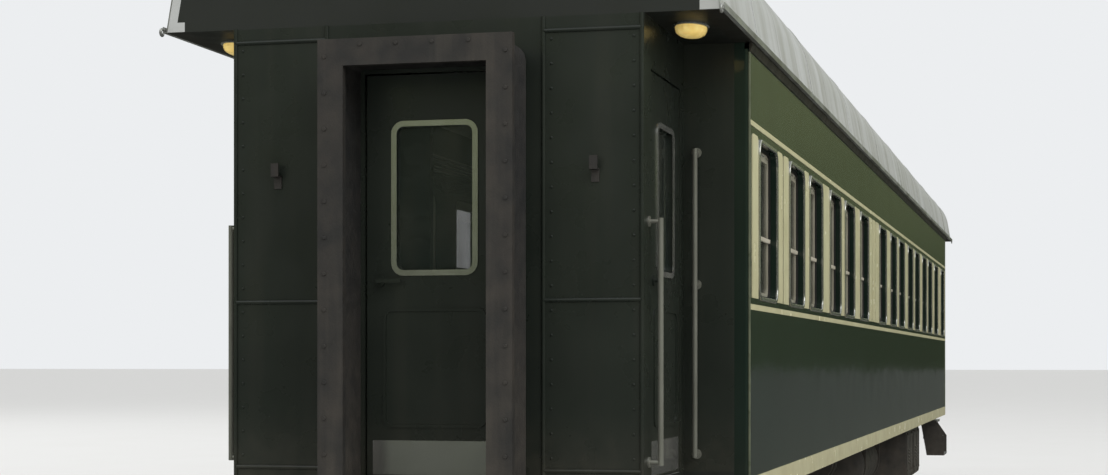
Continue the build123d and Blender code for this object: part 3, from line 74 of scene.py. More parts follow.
class Slot(Enum):
    """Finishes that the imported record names."""

    GREEN = "body_green"
    CREAM = "cream_paint"
    ROOF = "roof_paint"
    INTERIOR = "interior_panels"
    BLACK = "underframe_black"
    CASTING = "bogie_casting"
    STEEL = "wheel_steel"
    TRIM = "polished_trim"
    SASH = "sash_metal"
    GLASS = "window_glass"
    LAMP = "lamp_glass"
    BELLOWS = "bellows_rubber"
    FLOOR = "floor_covering"
    WOOD = "seat_wood"
    LEATHER = "seat_leather"


class Axis(Enum):
    """Directions along which a profile is drawn out."""

    X = 0
    Y = 1
    Z = 2


def linear(colour: Color) -> Color:
    """Turn a colour as it is seen into the shader's linear values.

    Args:
        colour: Red, green and blue from 0 to 255.

    Returns:
        The linear values from 0 to 1.
    """
    return tuple(((v / 255 + 0.055) / 1.055) ** 2.4 if v > 10 else v / 255 / 12.92 for v in colour)


class Graph:
    """Adds, sets and links the nodes of one tree."""

    def __init__(self, tree: bpy.types.NodeTree) -> None:
        """Take over a tree and empty it.

        Args:
            tree: Tree to build in.
        """
        self.tree = tree
        self.tree.nodes.clear()

    def feed(self, node: bpy.types.Node, inputs: dict[object, object]) -> None:
        """Link sockets to a node's inputs and set plain values on them.

        Args:
            node: The node.
            inputs: Sockets or values, by the name or number of the input.
        """
        for key, value in inputs.items():
            if isinstance(value, Socket):
                self.tree.links.new(value, node.inputs[key])
            else:
                node.inputs[key].default_value = value

    def node(self, kind: str, inputs: Optional[dict[object, object]] = None,
             **settings: object) -> bpy.types.Node:
        """Add a node, set its properties and feed its inputs.

        Args:
            kind: Blender's name of the node type.
            inputs: Sockets or values, by the name or number of the input.
            settings: Properties to set on it.

        Returns:
            The new node.
        """
        made = self.tree.nodes.new(kind)
        for key, value in settings.items():
            setattr(made, key, value)
        self.feed(made, inputs or {})
        return made


class MaterialGraph(Graph):
    """Builds one material out of patterns on object coordinates."""

    def __init__(self, name: str) -> None:
        """Start an empty material with its shader and output.

        Args:
            name: Name of the material.
        """
        self.material = bpy.data.materials.new(name)
        self.material.use_nodes = True
        super().__init__(self.material.node_tree)
        self.shader = self.node("ShaderNodeBsdfPrincipled")
        self.node("ShaderNodeOutputMaterial", {0: self.shader.outputs[0]})
        self.coordinates = self.node("ShaderNodeTexCoord").outputs["Object"]
        self.parts = self.node("ShaderNodeSeparateXYZ", {0: self.coordinates}).outputs

    def math(self, operation: str, *values: object) -> Socket:
        """Add a Math node.

        Args:
            operation: Blender's name of the operation.
            values: Sockets or numbers, in order.

        Returns:
            Its result.
        """
        return self.node("ShaderNodeMath", dict(enumerate(values)), operation=operation).outputs[0]

    def span(self, value: Socket, low: float, high: float, to: Flat) -> Socket:
        """Map a value from low to high onto a range, held at its ends.

        Args:
            value: Socket to map.
            low: Value that gives the first result.
            high: Value that gives the second result.
            to: The two results.

        Returns:
            The mapped value.
        """
        limits = {"From Min": low, "From Max": high, "To Min": to[0], "To Max": to[1]}
        return self.node("ShaderNodeMapRange", {"Value": value, **limits}).outputs[0]

    def noise(self, scale: float, stretch: Point = (1, 1, 1), detail: float = 4) -> Socket:
        """Add a noise pattern on object coordinates.

        Args:
            scale: Cells per metre.
            stretch: Scale of each axis before the noise.
            detail: Octaves of the noise.

        Returns:
            Its value, about 0.5 in the middle.
        """
        place = self.node("ShaderNodeMapping", {"Scale": stretch, "Vector": self.coordinates})
        inputs = {"Scale": scale, "Detail": detail, "Vector": place.outputs[0]}
        return self.node("ShaderNodeTexNoise", inputs).outputs[0]

    def blend(self, factor: Socket, first: object, second: object) -> Socket:
        """Mix two colours by a factor.

        Args:
            factor: Socket from 0, the first, to 1, the second.
            first: Linear colour or socket.
            second: Linear colour or socket.

        Returns:
            The mixed colour.
        """
        made = self.node("ShaderNodeMix", {"Factor": factor}, data_type="RGBA")
        numbers = [number for number, socket in enumerate(made.inputs) if socket.type == "RGBA"]
        for number, colour in zip(numbers, (first, second)):
            self.feed(made, {number: colour if isinstance(colour, Socket) else (*colour, 1)})
        return next(socket for socket in made.outputs if socket.type == "RGBA")

    def stain(self, colour: Socket, mark: Color, mask: Socket, strength: object) -> Socket:
        """Lay a second colour over a first where a mask says so.

        Args:
            colour: Colour below.
            mark: Colour of the stain, from 0 to 255.
            mask: Where it lies, from 0 to 1.
            strength: Socket or number that weakens the mask.

        Returns:
            The stained colour.
        """
        return self.blend(self.math("MULTIPLY", mask, strength), colour, linear(mark))

    def relief(self, height: Socket, depth: float, normal: Optional[Socket] = None) -> Socket:
        """Turn a height pattern into a bumped normal.

        Args:
            height: Height from 0 to 1.
            depth: Height of 1, in metres.
            normal: Normal from another relief to build on.

        Returns:
            The normal.
        """
        below = {} if normal is None else {"Normal": normal}
        return self.node("ShaderNodeBump", {"Distance": depth, "Height": height, **below}).outputs[0]


@dataclass(frozen=True)
class Finish:
    """A painted, cast, polished or covered surface with mottling, dust and fine relief."""

    name: str
    slot: Slot
    colour: Color
    shade: Color
    mottle: float = 5
    grain: Point = (1, 1, 1)
    roughness: Flat = (0.35, 0.5)
    metallic: float = 0
    specular: float = 0.5
    coat: float = 0
    fine: float = 160
    depth: float = 0.0003
    dust: Color = (96, 88, 76)
    dust_amount: float = 0
    dust_heights: Flat = (0.2, 1.2)
    dust_scale: float = 14
    dust_least: float = 0.35
    streaks: float = 0
    streak_scale: float = 9
    streak_grain: Point = (1, 1, 0.06)
    streak_detail: float = 6
    streak_band: Flat = (0.5, 0.72)
    rough_finer: float = 2.3
    # Height below which the surface turns dark, and that colour: painted shade on its underside.
    painted_shade_below: float = 0
    painted_shade_colour: Color = (44, 42, 36)

    def build(self) -> bpy.types.Material:
        """Build the material.

        Returns:
            The finished material.
        """
        graph = MaterialGraph(self.name)
        spread = graph.span(graph.noise(self.mottle, self.grain), *NOISE_MIDDLE, (0, 1))
        colour = graph.blend(spread, linear(self.colour), linear(self.shade))
        if self.streaks:
            runs = graph.noise(self.streak_scale, self.streak_grain, self.streak_detail)
            run = graph.span(runs, *self.streak_band, (0, self.streaks))
            colour = graph.blend(run, colour, linear(self.dust))
        if self.dust_amount:
            settled = graph.span(graph.parts["Z"], *self.dust_heights, (self.dust_amount, 0))
            patches = graph.span(graph.noise(self.dust_scale), *NOISE_MOST, (self.dust_least, 1))
            colour = graph.stain(colour, self.dust, settled, patches)
        colour, normal = self.pattern(graph, colour)
        # Below that height the colour turns dark: painted shade under the eave.
        if self.painted_shade_below:
            under = graph.math("LESS_THAN", graph.parts["Z"], self.painted_shade_below)
            colour = graph.blend(under, colour, linear(self.painted_shade_colour))
        rough = graph.noise(self.mottle * self.rough_finer, self.grain)
        graph.feed(graph.shader, {
            "Base Color": colour,
            "Roughness": graph.span(rough, *NOISE_MOST, self.roughness),
            "Normal": graph.relief(graph.noise(self.fine, self.grain), self.depth, normal),
            "Metallic": self.metallic,
            "Specular IOR Level": self.specular,
            "Coat Weight": self.coat,
            "Coat Roughness": COAT_ROUGHNESS,
        })
        return graph.material

    def pattern(self, graph: MaterialGraph, colour: Socket) -> tuple[Socket, Optional[Socket]]:
        """Leave a surface with no pattern of its own as it is.

        Args:
            graph: Graph of the material. Not used here.
            colour: Colour so far.

        Returns:
            The colour and no relief.
        """
        return colour, None


@dataclass(frozen=True)
class SidePaint(Finish):
    """Coach enamel over steel sheets, with the joints between the sheets."""

    sheet_length: float = 1.49
    joint_width: float = 0.006
    joint_colour: Color = (12, 15, 13)
    joint_strength: float = 0.6
    joint_depth: float = 0.0012
    wave_scale: float = 1.7
    wave_grain: Point = (1, 1, 1.3)
    wave_depth: float = 0.004

    def pattern(self, graph: MaterialGraph, colour: Socket) -> tuple[Socket, Optional[Socket]]:
        """Draw the upright joints between the sheets and their slow waves.

        Args:
            graph: Graph of the material.
            colour: Colour before the joints.

        Returns:
            The colour with darker joints, and their relief.
        """
        along = graph.math("PINGPONG", graph.parts["X"], self.sheet_length / 2)
        groove = graph.math("LESS_THAN", along, self.joint_width / 2)
        swell = graph.noise(self.wave_scale, self.wave_grain, detail=1)
        waves = graph.relief(swell, self.wave_depth)
        height = graph.math("SUBTRACT", 1, groove)
        colour = graph.stain(colour, self.joint_colour, groove, self.joint_strength)
        return colour, graph.relief(height, self.joint_depth, waves)


@dataclass(frozen=True)
class RoofPaint(Finish):
    """Weathered roof paint with soot along the crown and wash marks down the sides."""

    sheet_length: float = 2.4
    seam_offset: float = 0.3
    half_seam: float = 0.006
    seam_colour: Color = (80, 78, 74)
    seam_strength: float = 0.5
    seam_depth: float = 0.002
    wash_colour: Color = (122, 120, 104)
    wash_scale: float = 7
    wash_grain: Point = (1, 0.05, 0.12)
    wash_detail: float = 6
    wash_band: Flat = (0.42, 0.7)
    wash_amount: float = 0.6
    wash_heights: Flat = (3.5, 4.0)
    wash_least: float = 0.25
    soot_colour: Color = (92, 89, 84)
    soot_heights: Flat = (3.75, 4.15)
    soot_amount: float = 0.3
    soot_scale: float = 1.1
    soot_least: float = 0.5

    def pattern(self, graph: MaterialGraph, colour: Socket) -> tuple[Socket, Optional[Socket]]:
        """Draw soot, wash marks and the seams between the roof sheets.

        Args:
            graph: Graph of the material.
            colour: Colour before them.

        Returns:
            The marked colour and the relief of the seams.
        """
        runs = graph.noise(self.wash_scale, self.wash_grain, self.wash_detail)
        washed = graph.span(runs, *self.wash_band, (0, self.wash_amount))
        lower = graph.span(graph.parts["Z"], *self.wash_heights, (1, self.wash_least))
        colour = graph.stain(colour, self.wash_colour, washed, lower)
        soot = graph.span(graph.parts["Z"], *self.soot_heights, (0, self.soot_amount))
        patches = graph.span(graph.noise(self.soot_scale), *NOISE_MIDDLE, (self.soot_least, 1))
        colour = graph.stain(colour, self.soot_colour, soot, patches)
        moved = graph.math("ADD", graph.parts["X"], self.seam_offset)
        along = graph.math("PINGPONG", moved, self.sheet_length / 2)
        seam = graph.math("LESS_THAN", along, self.half_seam)
        colour = graph.stain(colour, self.seam_colour, seam, self.seam_strength)
        return colour, graph.relief(seam, self.seam_depth)


@dataclass(frozen=True)
class LiningPaint(Finish):
    """Indoor paint that turns dark where the surface stands outside the walls."""

    outside: Color = (38, 41, 36)
    side_end: float = 8.62
    body_end: float = 9.59
    half_vestibule: float = 1.05

    def pattern(self, graph: MaterialGraph, colour: Socket) -> tuple[Socket, Optional[Socket]]:
        """Darken what lies beyond the end walls or in the entrance recesses.

        Args:
            graph: Graph of the material.
            colour: Colour indoors.

        Returns:
            The colour by place, and no relief.
        """
        along = graph.math("ABSOLUTE", graph.parts["X"])
        across = graph.math("ABSOLUTE", graph.parts["Y"])
        past_side = graph.math("GREATER_THAN", along, self.side_end)
        past_wall = graph.math("GREATER_THAN", across, self.half_vestibule)
        recess = graph.math("MULTIPLY", past_side, past_wall)
        beyond = graph.math("GREATER_THAN", along, self.body_end)
        mask = graph.math("MAXIMUM", recess, beyond)
        return graph.blend(mask, colour, linear(self.outside)), None


@dataclass(frozen=True)
class WoodGrain(Finish):
    """Varnished boards with their grain along one axis."""

    rings: float = 38
    ring_detail: float = 8
    ring_band: Flat = (0.4, 0.62)
    ring_strength: float = 0.7
    ring_depth: float = 0.0004
    darkening: float = 0.55

    def pattern(self, graph: MaterialGraph, colour: Socket) -> tuple[Socket, Optional[Socket]]:
        """Draw the grain.

        Args:
            graph: Graph of the material.
            colour: Colour before the grain.

        Returns:
            The grained colour and its relief.
        """
        lines = graph.noise(self.rings, self.grain, self.ring_detail)
        dark = tuple(v * self.darkening for v in linear(self.shade))
        share = graph.span(lines, *self.ring_band, (0, self.ring_strength))
        return graph.blend(share, colour, dark), graph.relief(lines, self.ring_depth)


@dataclass(frozen=True)
class HideGrain(Finish):
    """Seat hide with pebbled grain."""

    pebbles: float = 260
    crease_width: float = 0.2
    crease_colour: Color = (20, 24, 18)
    crease_strength: float = 0.4
    crease_depth: float = 0.0006

    def pattern(self, graph: MaterialGraph, colour: Socket) -> tuple[Socket, Optional[Socket]]:
        """Draw the pebbles of the hide.

        Args:
            graph: Graph of the material.
            colour: Colour before the pebbles.

        Returns:
            The colour with darker creases, and their relief.
        """
        inputs = {"Scale": self.pebbles, "Vector": graph.coordinates}
        cells = graph.node("ShaderNodeTexVoronoi", inputs, feature="DISTANCE_TO_EDGE")
        crease = graph.span(cells.outputs["Distance"], 0, self.crease_width, (1, 0))
        height = graph.math("SUBTRACT", 1, crease)
        colour = graph.stain(colour, self.crease_colour, crease, self.crease_strength)
        return colour, graph.relief(height, self.crease_depth)


@dataclass(frozen=True)
class LitGlass(Finish):
    """Pressed lamp glass with its bulb on, glowing in soft patches."""

    glow: float = 0.55
    glow_least: float = 0.8
    glow_scale: float = 30

    def pattern(self, graph: MaterialGraph, colour: Socket) -> tuple[Socket, Optional[Socket]]:
        """Let the glass glow in its own colour.

        Args:
            graph: Graph of the material.
            colour: Colour of the glass.

        Returns:
            The same colour and no relief.
        """
        patches = graph.noise(self.glow_scale)
        glow = graph.span(patches, *NOISE_MOST, (self.glow * self.glow_least, self.glow))
        graph.feed(graph.shader, {"Emission Color": colour, "Emission Strength": glow})
        return colour, None


@dataclass(frozen=True)
class ClearGlass(Finish):
    """Window glass, seen through, with a thin film of dirt in patches; its dark half-opaque colour is
    painted shade over the interior behind it.
    """

    cover: Flat = (0.36, 0.5)
    film_scale: float = 5
    film_grain: Point = (1, 1, 0.4)
    film_band: Flat = (0.4, 0.75)
    film_most: float = 0.5
    smear_scale: float = 11
    smear_band: Flat = (0.45, 0.8)

    def build(self) -> bpy.types.Material:
        """Build the glass.

        Returns:
            The finished material.
        """
        graph = MaterialGraph(self.name)
        dirt = graph.noise(self.film_scale, self.film_grain)
        film = graph.span(dirt, *self.film_band, (0, self.film_most))
        graph.feed(graph.shader, {
            "Base Color": graph.blend(film, linear(self.colour), linear(self.shade)),
            "Roughness": graph.span(graph.noise(self.smear_scale), *self.smear_band, self.roughness),
            "Alpha": graph.span(film, 0, self.film_most, self.cover),
            "IOR": GLASS_IOR,
        })
        return graph.material


FINISHES: tuple[Finish, ...] = (
    SidePaint("green_enamel", Slot.GREEN, (26, 37, 31), (31, 43, 36), mottle=1.5,
              roughness=(0.08, 0.14), specular=0.4, depth=0.00002, dust_amount=0.2,
              dust_heights=(1.0, 1.4), dust=(66, 62, 52), streaks=0.06),
    Finish("recess_enamel", Slot.GREEN, (32, 37, 32), (38, 43, 37), mottle=2,
           roughness=(0.24, 0.34), depth=0.00006, dust_amount=0.25, dust_heights=(1.1, 1.5),
           streaks=0.05),
    Finish("cream_enamel", Slot.CREAM, (208, 203, 165), (203, 197, 158), mottle=3,
           roughness=(0.2, 0.28), depth=0.00003, streaks=0.03, dust=(140, 131, 104),
           dust_amount=0.15, dust_heights=(1.02, 1.2)),
    # The roof's underside below the eave is darkened as painted shade.
    RoofPaint("roof_paint", Slot.ROOF, (188, 190, 188), (176, 178, 174), mottle=1.6,
              grain=(1, 0.5, 0.5), roughness=(0.4, 0.55), depth=0.0002, painted_shade_below=3.432),
    LiningPaint("ceiling_paint", Slot.INTERIOR, (208, 202, 184), (196, 189, 170), mottle=3,
                roughness=(0.4, 0.55), depth=0.0002),
    Finish("frame_paint", Slot.BLACK, (42, 41, 39), (55, 51, 46), mottle=7, roughness=(0.55, 0.8),
           depth=0.0008, fine=90, dust_amount=0.5, dust_heights=(0.3, 1.3), streaks=0.25),
    Finish("bogie_iron", Slot.CASTING, (40, 37, 34), (58, 50, 42), mottle=9,
           roughness=(0.6, 0.85), depth=0.0015, fine=120, dust_amount=0.6,
           dust_heights=(0.1, 0.95), dust=(98, 84, 68), streaks=0.25),
    Finish("wheel_steel", Slot.STEEL, (92, 76, 64), (66, 55, 47), mottle=8,
           roughness=(0.35, 0.6), metallic=0.7, depth=0.0006, fine=100),
    Finish("bright_trim", Slot.TRIM, (214, 214, 208), (204, 204, 198), mottle=4,
           roughness=(0.16, 0.22), metallic=0.9, depth=0.00003, fine=220),
    Finish("rail_metal", Slot.TRIM, (150, 150, 140), (138, 138, 128), mottle=4,
           roughness=(0.3, 0.4), metallic=0.6, depth=0.00005, fine=220),
    Finish("gutter_metal", Slot.TRIM, (188, 190, 186), (140, 140, 134), mottle=6,
           grain=(0.4, 1, 1), roughness=(0.3, 0.5), metallic=0.7, streaks=0.3),
    # Dark brown cornice under the gutters: painted shade of the eave. Its streaks are dirt.
    Finish("cornice_paint", Slot.GREEN, (56, 52, 42), (46, 44, 36), mottle=6,
           roughness=(0.4, 0.55), depth=0.0002, streaks=0.2),
    # Pale corner beads: a painted highlight along the rounded corners of the sides.
    Finish("edge_paint", Slot.GREEN, (104, 108, 88), (84, 90, 72), mottle=8,
           roughness=(0.25, 0.35), depth=0.0001),
    Finish("sash_paint", Slot.SASH, (166, 162, 144), (150, 146, 128), roughness=(0.3, 0.45),
           depth=0.0002, streaks=0.2),
    Finish("sash_rail", Slot.SASH, (196, 190, 172), (182, 176, 158), roughness=(0.3, 0.4),
           depth=0.0001),
    # Dark, half-opaque glass colour: painted shade for the interior seen through the windows.
    ClearGlass("window_glass", Slot.GLASS, (46, 54, 50), (74, 74, 64), roughness=(0.0, 0.008)),
    LitGlass("amber_glass", Slot.LAMP, (232, 204, 128), (222, 190, 108), mottle=20,
             roughness=(0.12, 0.2), coat=0.5, depth=0.0002, fine=120),
    Finish("bellows_cloth", Slot.BELLOWS, (34, 34, 33), (46, 44, 41), mottle=10,
           roughness=(0.7, 0.9), depth=0.0012, fine=260, dust_amount=0.4,
           dust_heights=(1.0, 2.4)),
    Finish("rubber_seal", Slot.BELLOWS, (24, 24, 24), (32, 31, 30), mottle=14,
           roughness=(0.5, 0.7), depth=0.0004),
    LiningPaint("floor_sheet", Slot.FLOOR, (92, 66, 48), (78, 55, 40), mottle=9,
                roughness=(0.35, 0.6), half_vestibule=1.04),
    WoodGrain("seat_wood", Slot.WOOD, (124, 78, 44), (96, 58, 32), mottle=3,
              grain=(1, 0.08, 1), roughness=(0.25, 0.4), coat=0.3),
    HideGrain("seat_hide", Slot.LEATHER, (62, 78, 54), (48, 62, 42), mottle=6,
              roughness=(0.35, 0.55), depth=0.0002),
)

NODES_BY_FINISH: dict[str, tuple[str, ...]] = {
    "frame_paint": ("battery_boxes", "brake_cylinders", "centre_sills", "entrance_steps",
                    "gangway_faceplates", "underframe", "water_tanks"),
    "recess_enamel": ("bulkheads", "end_walls", "vestibule_walls"),
    "green_enamel": ("wall_left", "wall_right"),
    "cream_enamel": ("side_bands",),
    "roof_paint": ("roof", "roof_ventilators"),
    "gutter_metal": ("gutters",),
    "bright_trim": ("window_frames",),
    "rail_metal": ("handrails",),
    "sash_paint": ("sashes",),
    "window_glass": ("glazing",),
    "amber_glass": ("recess_lamps",),
    "ceiling_paint": ("ceiling",),
    "floor_sheet": ("floor",),
    "seat_wood": ("seat_frames",),
    "seat_hide": ("seat_cushions",),
    "bellows_cloth": ("gangway_bellows",),
    "bogie_iron": ("couplers",),
}


class Palette:
    """All the finishes of the coach, built once."""

    def __init__(self) -> None:
        """Build every finish."""
        self.materials = {finish.name: finish.build() for finish in FINISHES}
        self.slots = {finish.name: finish.slot for finish in FINISHES}

    def finish_of(self, node: str) -> str:
        """Choose the finish of a carried-over node.

        Args:
            node: Name of the node.

        Returns:
            Name of its finish.
        """
        if node.startswith("bogie_"):
            return "bogie_iron"
        if node.startswith("wheelset_"):
            return "wheel_steel"
        if node.endswith("_glass"):
            return "window_glass"
        if "_door_" in node:
            return "recess_enamel"
        return next(finish for finish, nodes in NODES_BY_FINISH.items() if node in nodes)

    def dress_nodes(self) -> None:
        """Give every carried-over node its finish."""
        for node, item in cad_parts.items():
            finish = self.finish_of(node)
            item.data.materials.clear()
            item.data.materials.append(self.materials[finish])
            LOG.info("%s has the finish %s", node, finish)


class Place(NamedTuple):
    """Where one copy of a repeated pattern stands."""

    at: Point
    turn: Point = (0, 0, 0)


def outward(side: int) -> Point:
    """Turn a pattern drawn towards -Y to face out of one side.

    Args:
        side: Sign of the side. Its opposite serves a pattern drawn towards +Y.

    Returns:
        The turn about each axis.
    """
    return (0, 0, 0.0 if side < 0 else math.pi)


def on_side(side: int) -> Point:
    """Turn a pattern drawn towards +Z to stand out of one side.

    Args:
        side: Sign of the side.

    Returns:
        The turn about each axis.
    """
    return (-side * QUARTER, 0, 0)


def on_end(end: int) -> Point:
    """Turn a pattern drawn towards +Z to stand out of one end.

    Args:
        end: Sign of the end.

    Returns:
        The turn about each axis.
    """
    return (0, end * QUARTER, 0)


class Form:
    """Collects the faces of one piece and turns them into a mesh."""

    def __init__(self) -> None:
        """Start with no faces."""
        self.points: list[Point] = []
        self.faces: list[tuple[int, ...]] = []

    def add(self, points: Iterable[Sequence[float]], faces: Iterable[Sequence[int]]) -> None:
        """Add points and the faces between them.

        Args:
            points: The new points.
            faces: Faces that number the new points from 0.
        """
        start = len(self.points)
        self.points.extend(tuple(point) for point in points)
        self.faces.extend(tuple(start + index for index in face) for face in faces)

    def loft(self, rings: Sequence[Sequence[Sequence[float]]], closed: bool = False) -> None:
        """Join rings of equal length into a closed skin.

        Args:
            rings: Closed rings of points, in order.
            closed: Whether the last ring joins the first, instead of two caps.
        """
        count = len(rings[0])
        faces: list[tuple[int, ...]] = []
        for row in range(len(rings) if closed else len(rings) - 1):
            below, above = row * count, ((row + 1) % len(rings)) * count
            for place in range(count):
                after = (place + 1) % count
                faces.append((below + place, below + after, above + after, above + place))
        if not closed:
            faces.append(tuple(range(count)))
            faces.append(tuple(range((len(rings) - 1) * count, len(rings) * count)))
        self.add([point for ring in rings for point in ring], faces)

    def prism(self, outline: Sequence[Flat], axis: Axis, low: float, high: float) -> None:
        """Draw an outline out along an axis.

        Args:
            outline: Corners in the plane of the two other axes, in the order X, Y, Z.
            axis: Axis to draw along.
            low: Where the prism starts.
            high: Where it ends.
        """
        cut = axis.value
        self.loft([
            [(*corner[:cut], level, *corner[cut:]) for corner in outline] for level in (low, high)
        ])

    def block(self, low: Point, high: Point) -> None:
        """Add a rectangular bar.

        Args:
            low: Its lowest corner.
            high: Its highest corner.
        """
        outline = [(low[0], low[1]), (high[0], low[1]), (high[0], high[1]), (low[0], high[1])]
        self.prism(outline, Axis.Z, low[2], high[2])

    def tube(self, path: Sequence[Sequence[float]], radius: float, sides: int = 12) -> None:
        """Sweep a round section along an open path.

        Args:
            path: Points of the middle line.
            radius: Radius of the section.
            sides: Corners of the section.
        """
        points = [Vector(point) for point in path]
        rings = []
        side: Optional[Vector] = None
        for place, point in enumerate(points):
            before = points[max(place - 1, 0)]
            after = points[min(place + 1, len(points) - 1)]
            along = (after - before).normalized()
            if side is None:
                side = along.orthogonal().normalized()
            side = (side - along * side.dot(along)).normalized()
            other = along.cross(side)
            rings.append([
                point + side * radius * math.cos(turn) + other * radius * math.sin(turn)
                for turn in (2 * math.pi * step / sides for step in range(sides))
            ])
        self.loft(rings)

    def lathe(self, profile: Sequence[Flat], sides: int = 24) -> None:
        """Turn a profile about Z.

        Args:
            profile: Radius and height pairs from the bottom up.
            sides: Steps round the axis.
        """
        turns = [2 * math.pi * step / sides for step in range(sides)]
        self.loft([
            [(radius * math.cos(turn), radius * math.sin(turn), height) for turn in turns]
            for radius, height in profile
        ])

    def mesh(self, name: str) -> bpy.types.Mesh:
        """Build the mesh with its faces pointing outwards.

        Args:
            name: Name of the mesh.

        Returns:
            The mesh.
        """
        mesh = bpy.data.meshes.new(name)
        mesh.from_pydata(self.points, [], self.faces)
        shaped = bmesh.new()
        shaped.from_mesh(mesh)
        bmesh.ops.recalc_face_normals(shaped, faces=shaped.faces)
        shaped.to_mesh(mesh)
        shaped.free()
        mesh.shade_smooth()
        mesh.set_sharp_from_angle(angle=SMOOTH_BELOW)
        return mesh


class Workshop:
    """Turns forms into named pieces that ride on the coach's bodies."""

    COIL_STEPS = 20
    WIRE_SIDES = 10

    def __init__(self, palette: Palette) -> None:
        """Keep the finishes and build the node trees that repeat and wind.

        Args:
            palette: Finishes of the coach.
        """
        self.palette = palette
        self.repeat_tree = self.build_repeat_tree()
        self.coil_tree = self.build_coil_tree()

    def open_tree(self, name: str, inputs: dict[str, str]) -> tuple[Graph, bpy.types.Node]:
        """Start a tree that has points, its own inputs and a finish.

        Args:
            name: Name of the tree.
            inputs: Kinds of its own inputs, by name.

        Returns:
            The graph and the node that gives the inputs.
        """
        tree = bpy.data.node_groups.new(name, "GeometryNodeTree")
        for label, kind in {"Points": "Geometry", **inputs, "Finish": "Material"}.items():
            tree.interface.new_socket(label, in_out="INPUT", socket_type=f"NodeSocket{kind}")
        tree.interface.new_socket("Copies", in_out="OUTPUT", socket_type="NodeSocketGeometry")
        graph = Graph(tree)
        return graph, graph.node("NodeGroupInput")

    def close_tree(self, graph: Graph, start: bpy.types.Node, pattern: Socket) -> bpy.types.NodeTree:
        """Stand the pattern on the points, each copy in its own turn, and finish it.

        Args:
            graph: Graph of the tree.
            start: Node that gives the inputs.
            pattern: Geometry to copy.

        Returns:
            The finished tree.
        """
        given = start.outputs
        turn = graph.node("GeometryNodeInputNamedAttribute", {"Name": "turn"},
                          data_type="FLOAT_VECTOR")
        copies = graph.node("GeometryNodeInstanceOnPoints", {
            "Points": given["Points"], "Instance": pattern, "Rotation": turn.outputs["Attribute"],
        })
        real = graph.node("GeometryNodeRealizeInstances", {"Geometry": copies.outputs["Instances"]})
        dress = graph.node("GeometryNodeSetMaterial", {
            "Geometry": real.outputs["Geometry"], "Material": given["Finish"],
        })
        graph.node("NodeGroupOutput", {"Copies": dress.outputs["Geometry"]})
        return graph.tree

    def build_repeat_tree(self) -> bpy.types.NodeTree:
        """Build the tree that repeats a pattern on points.

        Returns:
            A tree with the inputs Points, Pattern and Finish.
        """
        graph, start = self.open_tree("repeat_on_points", {"Pattern": "Object"})
        pattern = graph.node("GeometryNodeObjectInfo", {"Object": start.outputs["Pattern"]})
        return self.close_tree(graph, start, pattern.outputs["Geometry"])

    def build_coil_tree(self) -> bpy.types.NodeTree:
        """Build the tree that winds coil springs on points.

        Returns:
            A tree with the inputs Points, Turns, Radius, Height, Wire and Finish.
        """
        measures = ("Turns", "Radius", "Height", "Wire")
        graph, start = self.open_tree("wind_coils", dict.fromkeys(measures, "Float"))
        turns, radius, height, wire = (start.outputs[name] for name in measures)
        spiral = graph.node("GeometryNodeCurveSpiral", {
            "Resolution": self.COIL_STEPS, "Rotations": turns, "Start Radius": radius,
            "End Radius": radius, "Height": height,
        })
        section = graph.node("GeometryNodeCurvePrimitiveCircle",
                             {"Resolution": self.WIRE_SIDES, "Radius": wire})
        wind = graph.node("GeometryNodeCurveToMesh", {
            "Curve": spiral.outputs["Curve"], "Profile Curve": section.outputs["Curve"],
            "Fill Caps": True,
        })
        return self.close_tree(graph, start, wind.outputs["Mesh"])

    def grow(self, name: str, tree: bpy.types.NodeTree, places: Sequence[Place],
             inputs: dict[str, object], finish: str, body: str,
             replaces: Sequence[str] = ()) -> bpy.types.Object:
        """Run a node tree on points, and let its result ride on a body as one piece.

        Args:
            name: Name of the piece.
            tree: Tree to run.
            places: Where the copies stand.
            inputs: Values of the tree's inputs, by name.
            finish: Name of the finish.
            body: Body that carries the piece.
            replaces: Nodes that it stands for.

        Returns:
            The finished object.
        """
        cloud = bpy.data.meshes.new(name + "_points")
        cloud.from_pydata([place.at for place in places], [], [])
        turns = cloud.attributes.new("turn", "FLOAT_VECTOR", "POINT")
        turns.data.foreach_set("vector", [angle for place in places for angle in place.turn])
        seed = bpy.data.objects.new(name + "_seed", cloud)
        bpy.context.scene.collection.objects.link(seed)
        modifier = seed.modifiers.new("grow", "NODES")
        modifier.node_group = tree
        values = {**inputs, "Finish": self.palette.materials[finish]}
        for item in tree.interface.items_tree:
            if item.in_out == "INPUT" and item.name in values:
                modifier[item.identifier] = values[item.name]
        graph = bpy.context.evaluated_depsgraph_get()
        mesh = bpy.data.meshes.new_from_object(
            seed.evaluated_get(graph), preserve_all_data_layers=False, depsgraph=graph
        )
        bpy.data.objects.remove(seed)
        mesh.name = name
        mesh.shade_smooth()
        mesh.set_sharp_from_angle(angle=SMOOTH_BELOW)
        item = bpy.data.objects.new(name, mesh)
        bpy.context.scene.collection.objects.link(item)
        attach(item, body)
        if replaces:
            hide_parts(*replaces)
        LOG.info("%s rides on %s with %d faces", item.name, body, len(item.data.polygons))
        return item

    def repeat(self, name: str, form: Form, places: Sequence[Place], finish: str,
               body: str = "body", replaces: Sequence[str] = ()) -> bpy.types.Object:
        """Repeat a form at many places as one piece.

        Args:
            name: Name of the piece.
            form: Form to repeat, drawn about the origin.
            places: Where its copies stand.
            finish: Name of the finish.
            body: Body that carries the piece.
            replaces: Nodes that it stands for.

        Returns:
            The finished object.
        """
        pattern = bpy.data.objects.new(name + "_pattern", form.mesh(name + "_pattern"))
        made = self.grow(name, self.repeat_tree, places, {"Pattern": pattern}, finish, body, replaces)
        bpy.data.objects.remove(pattern)
        return made


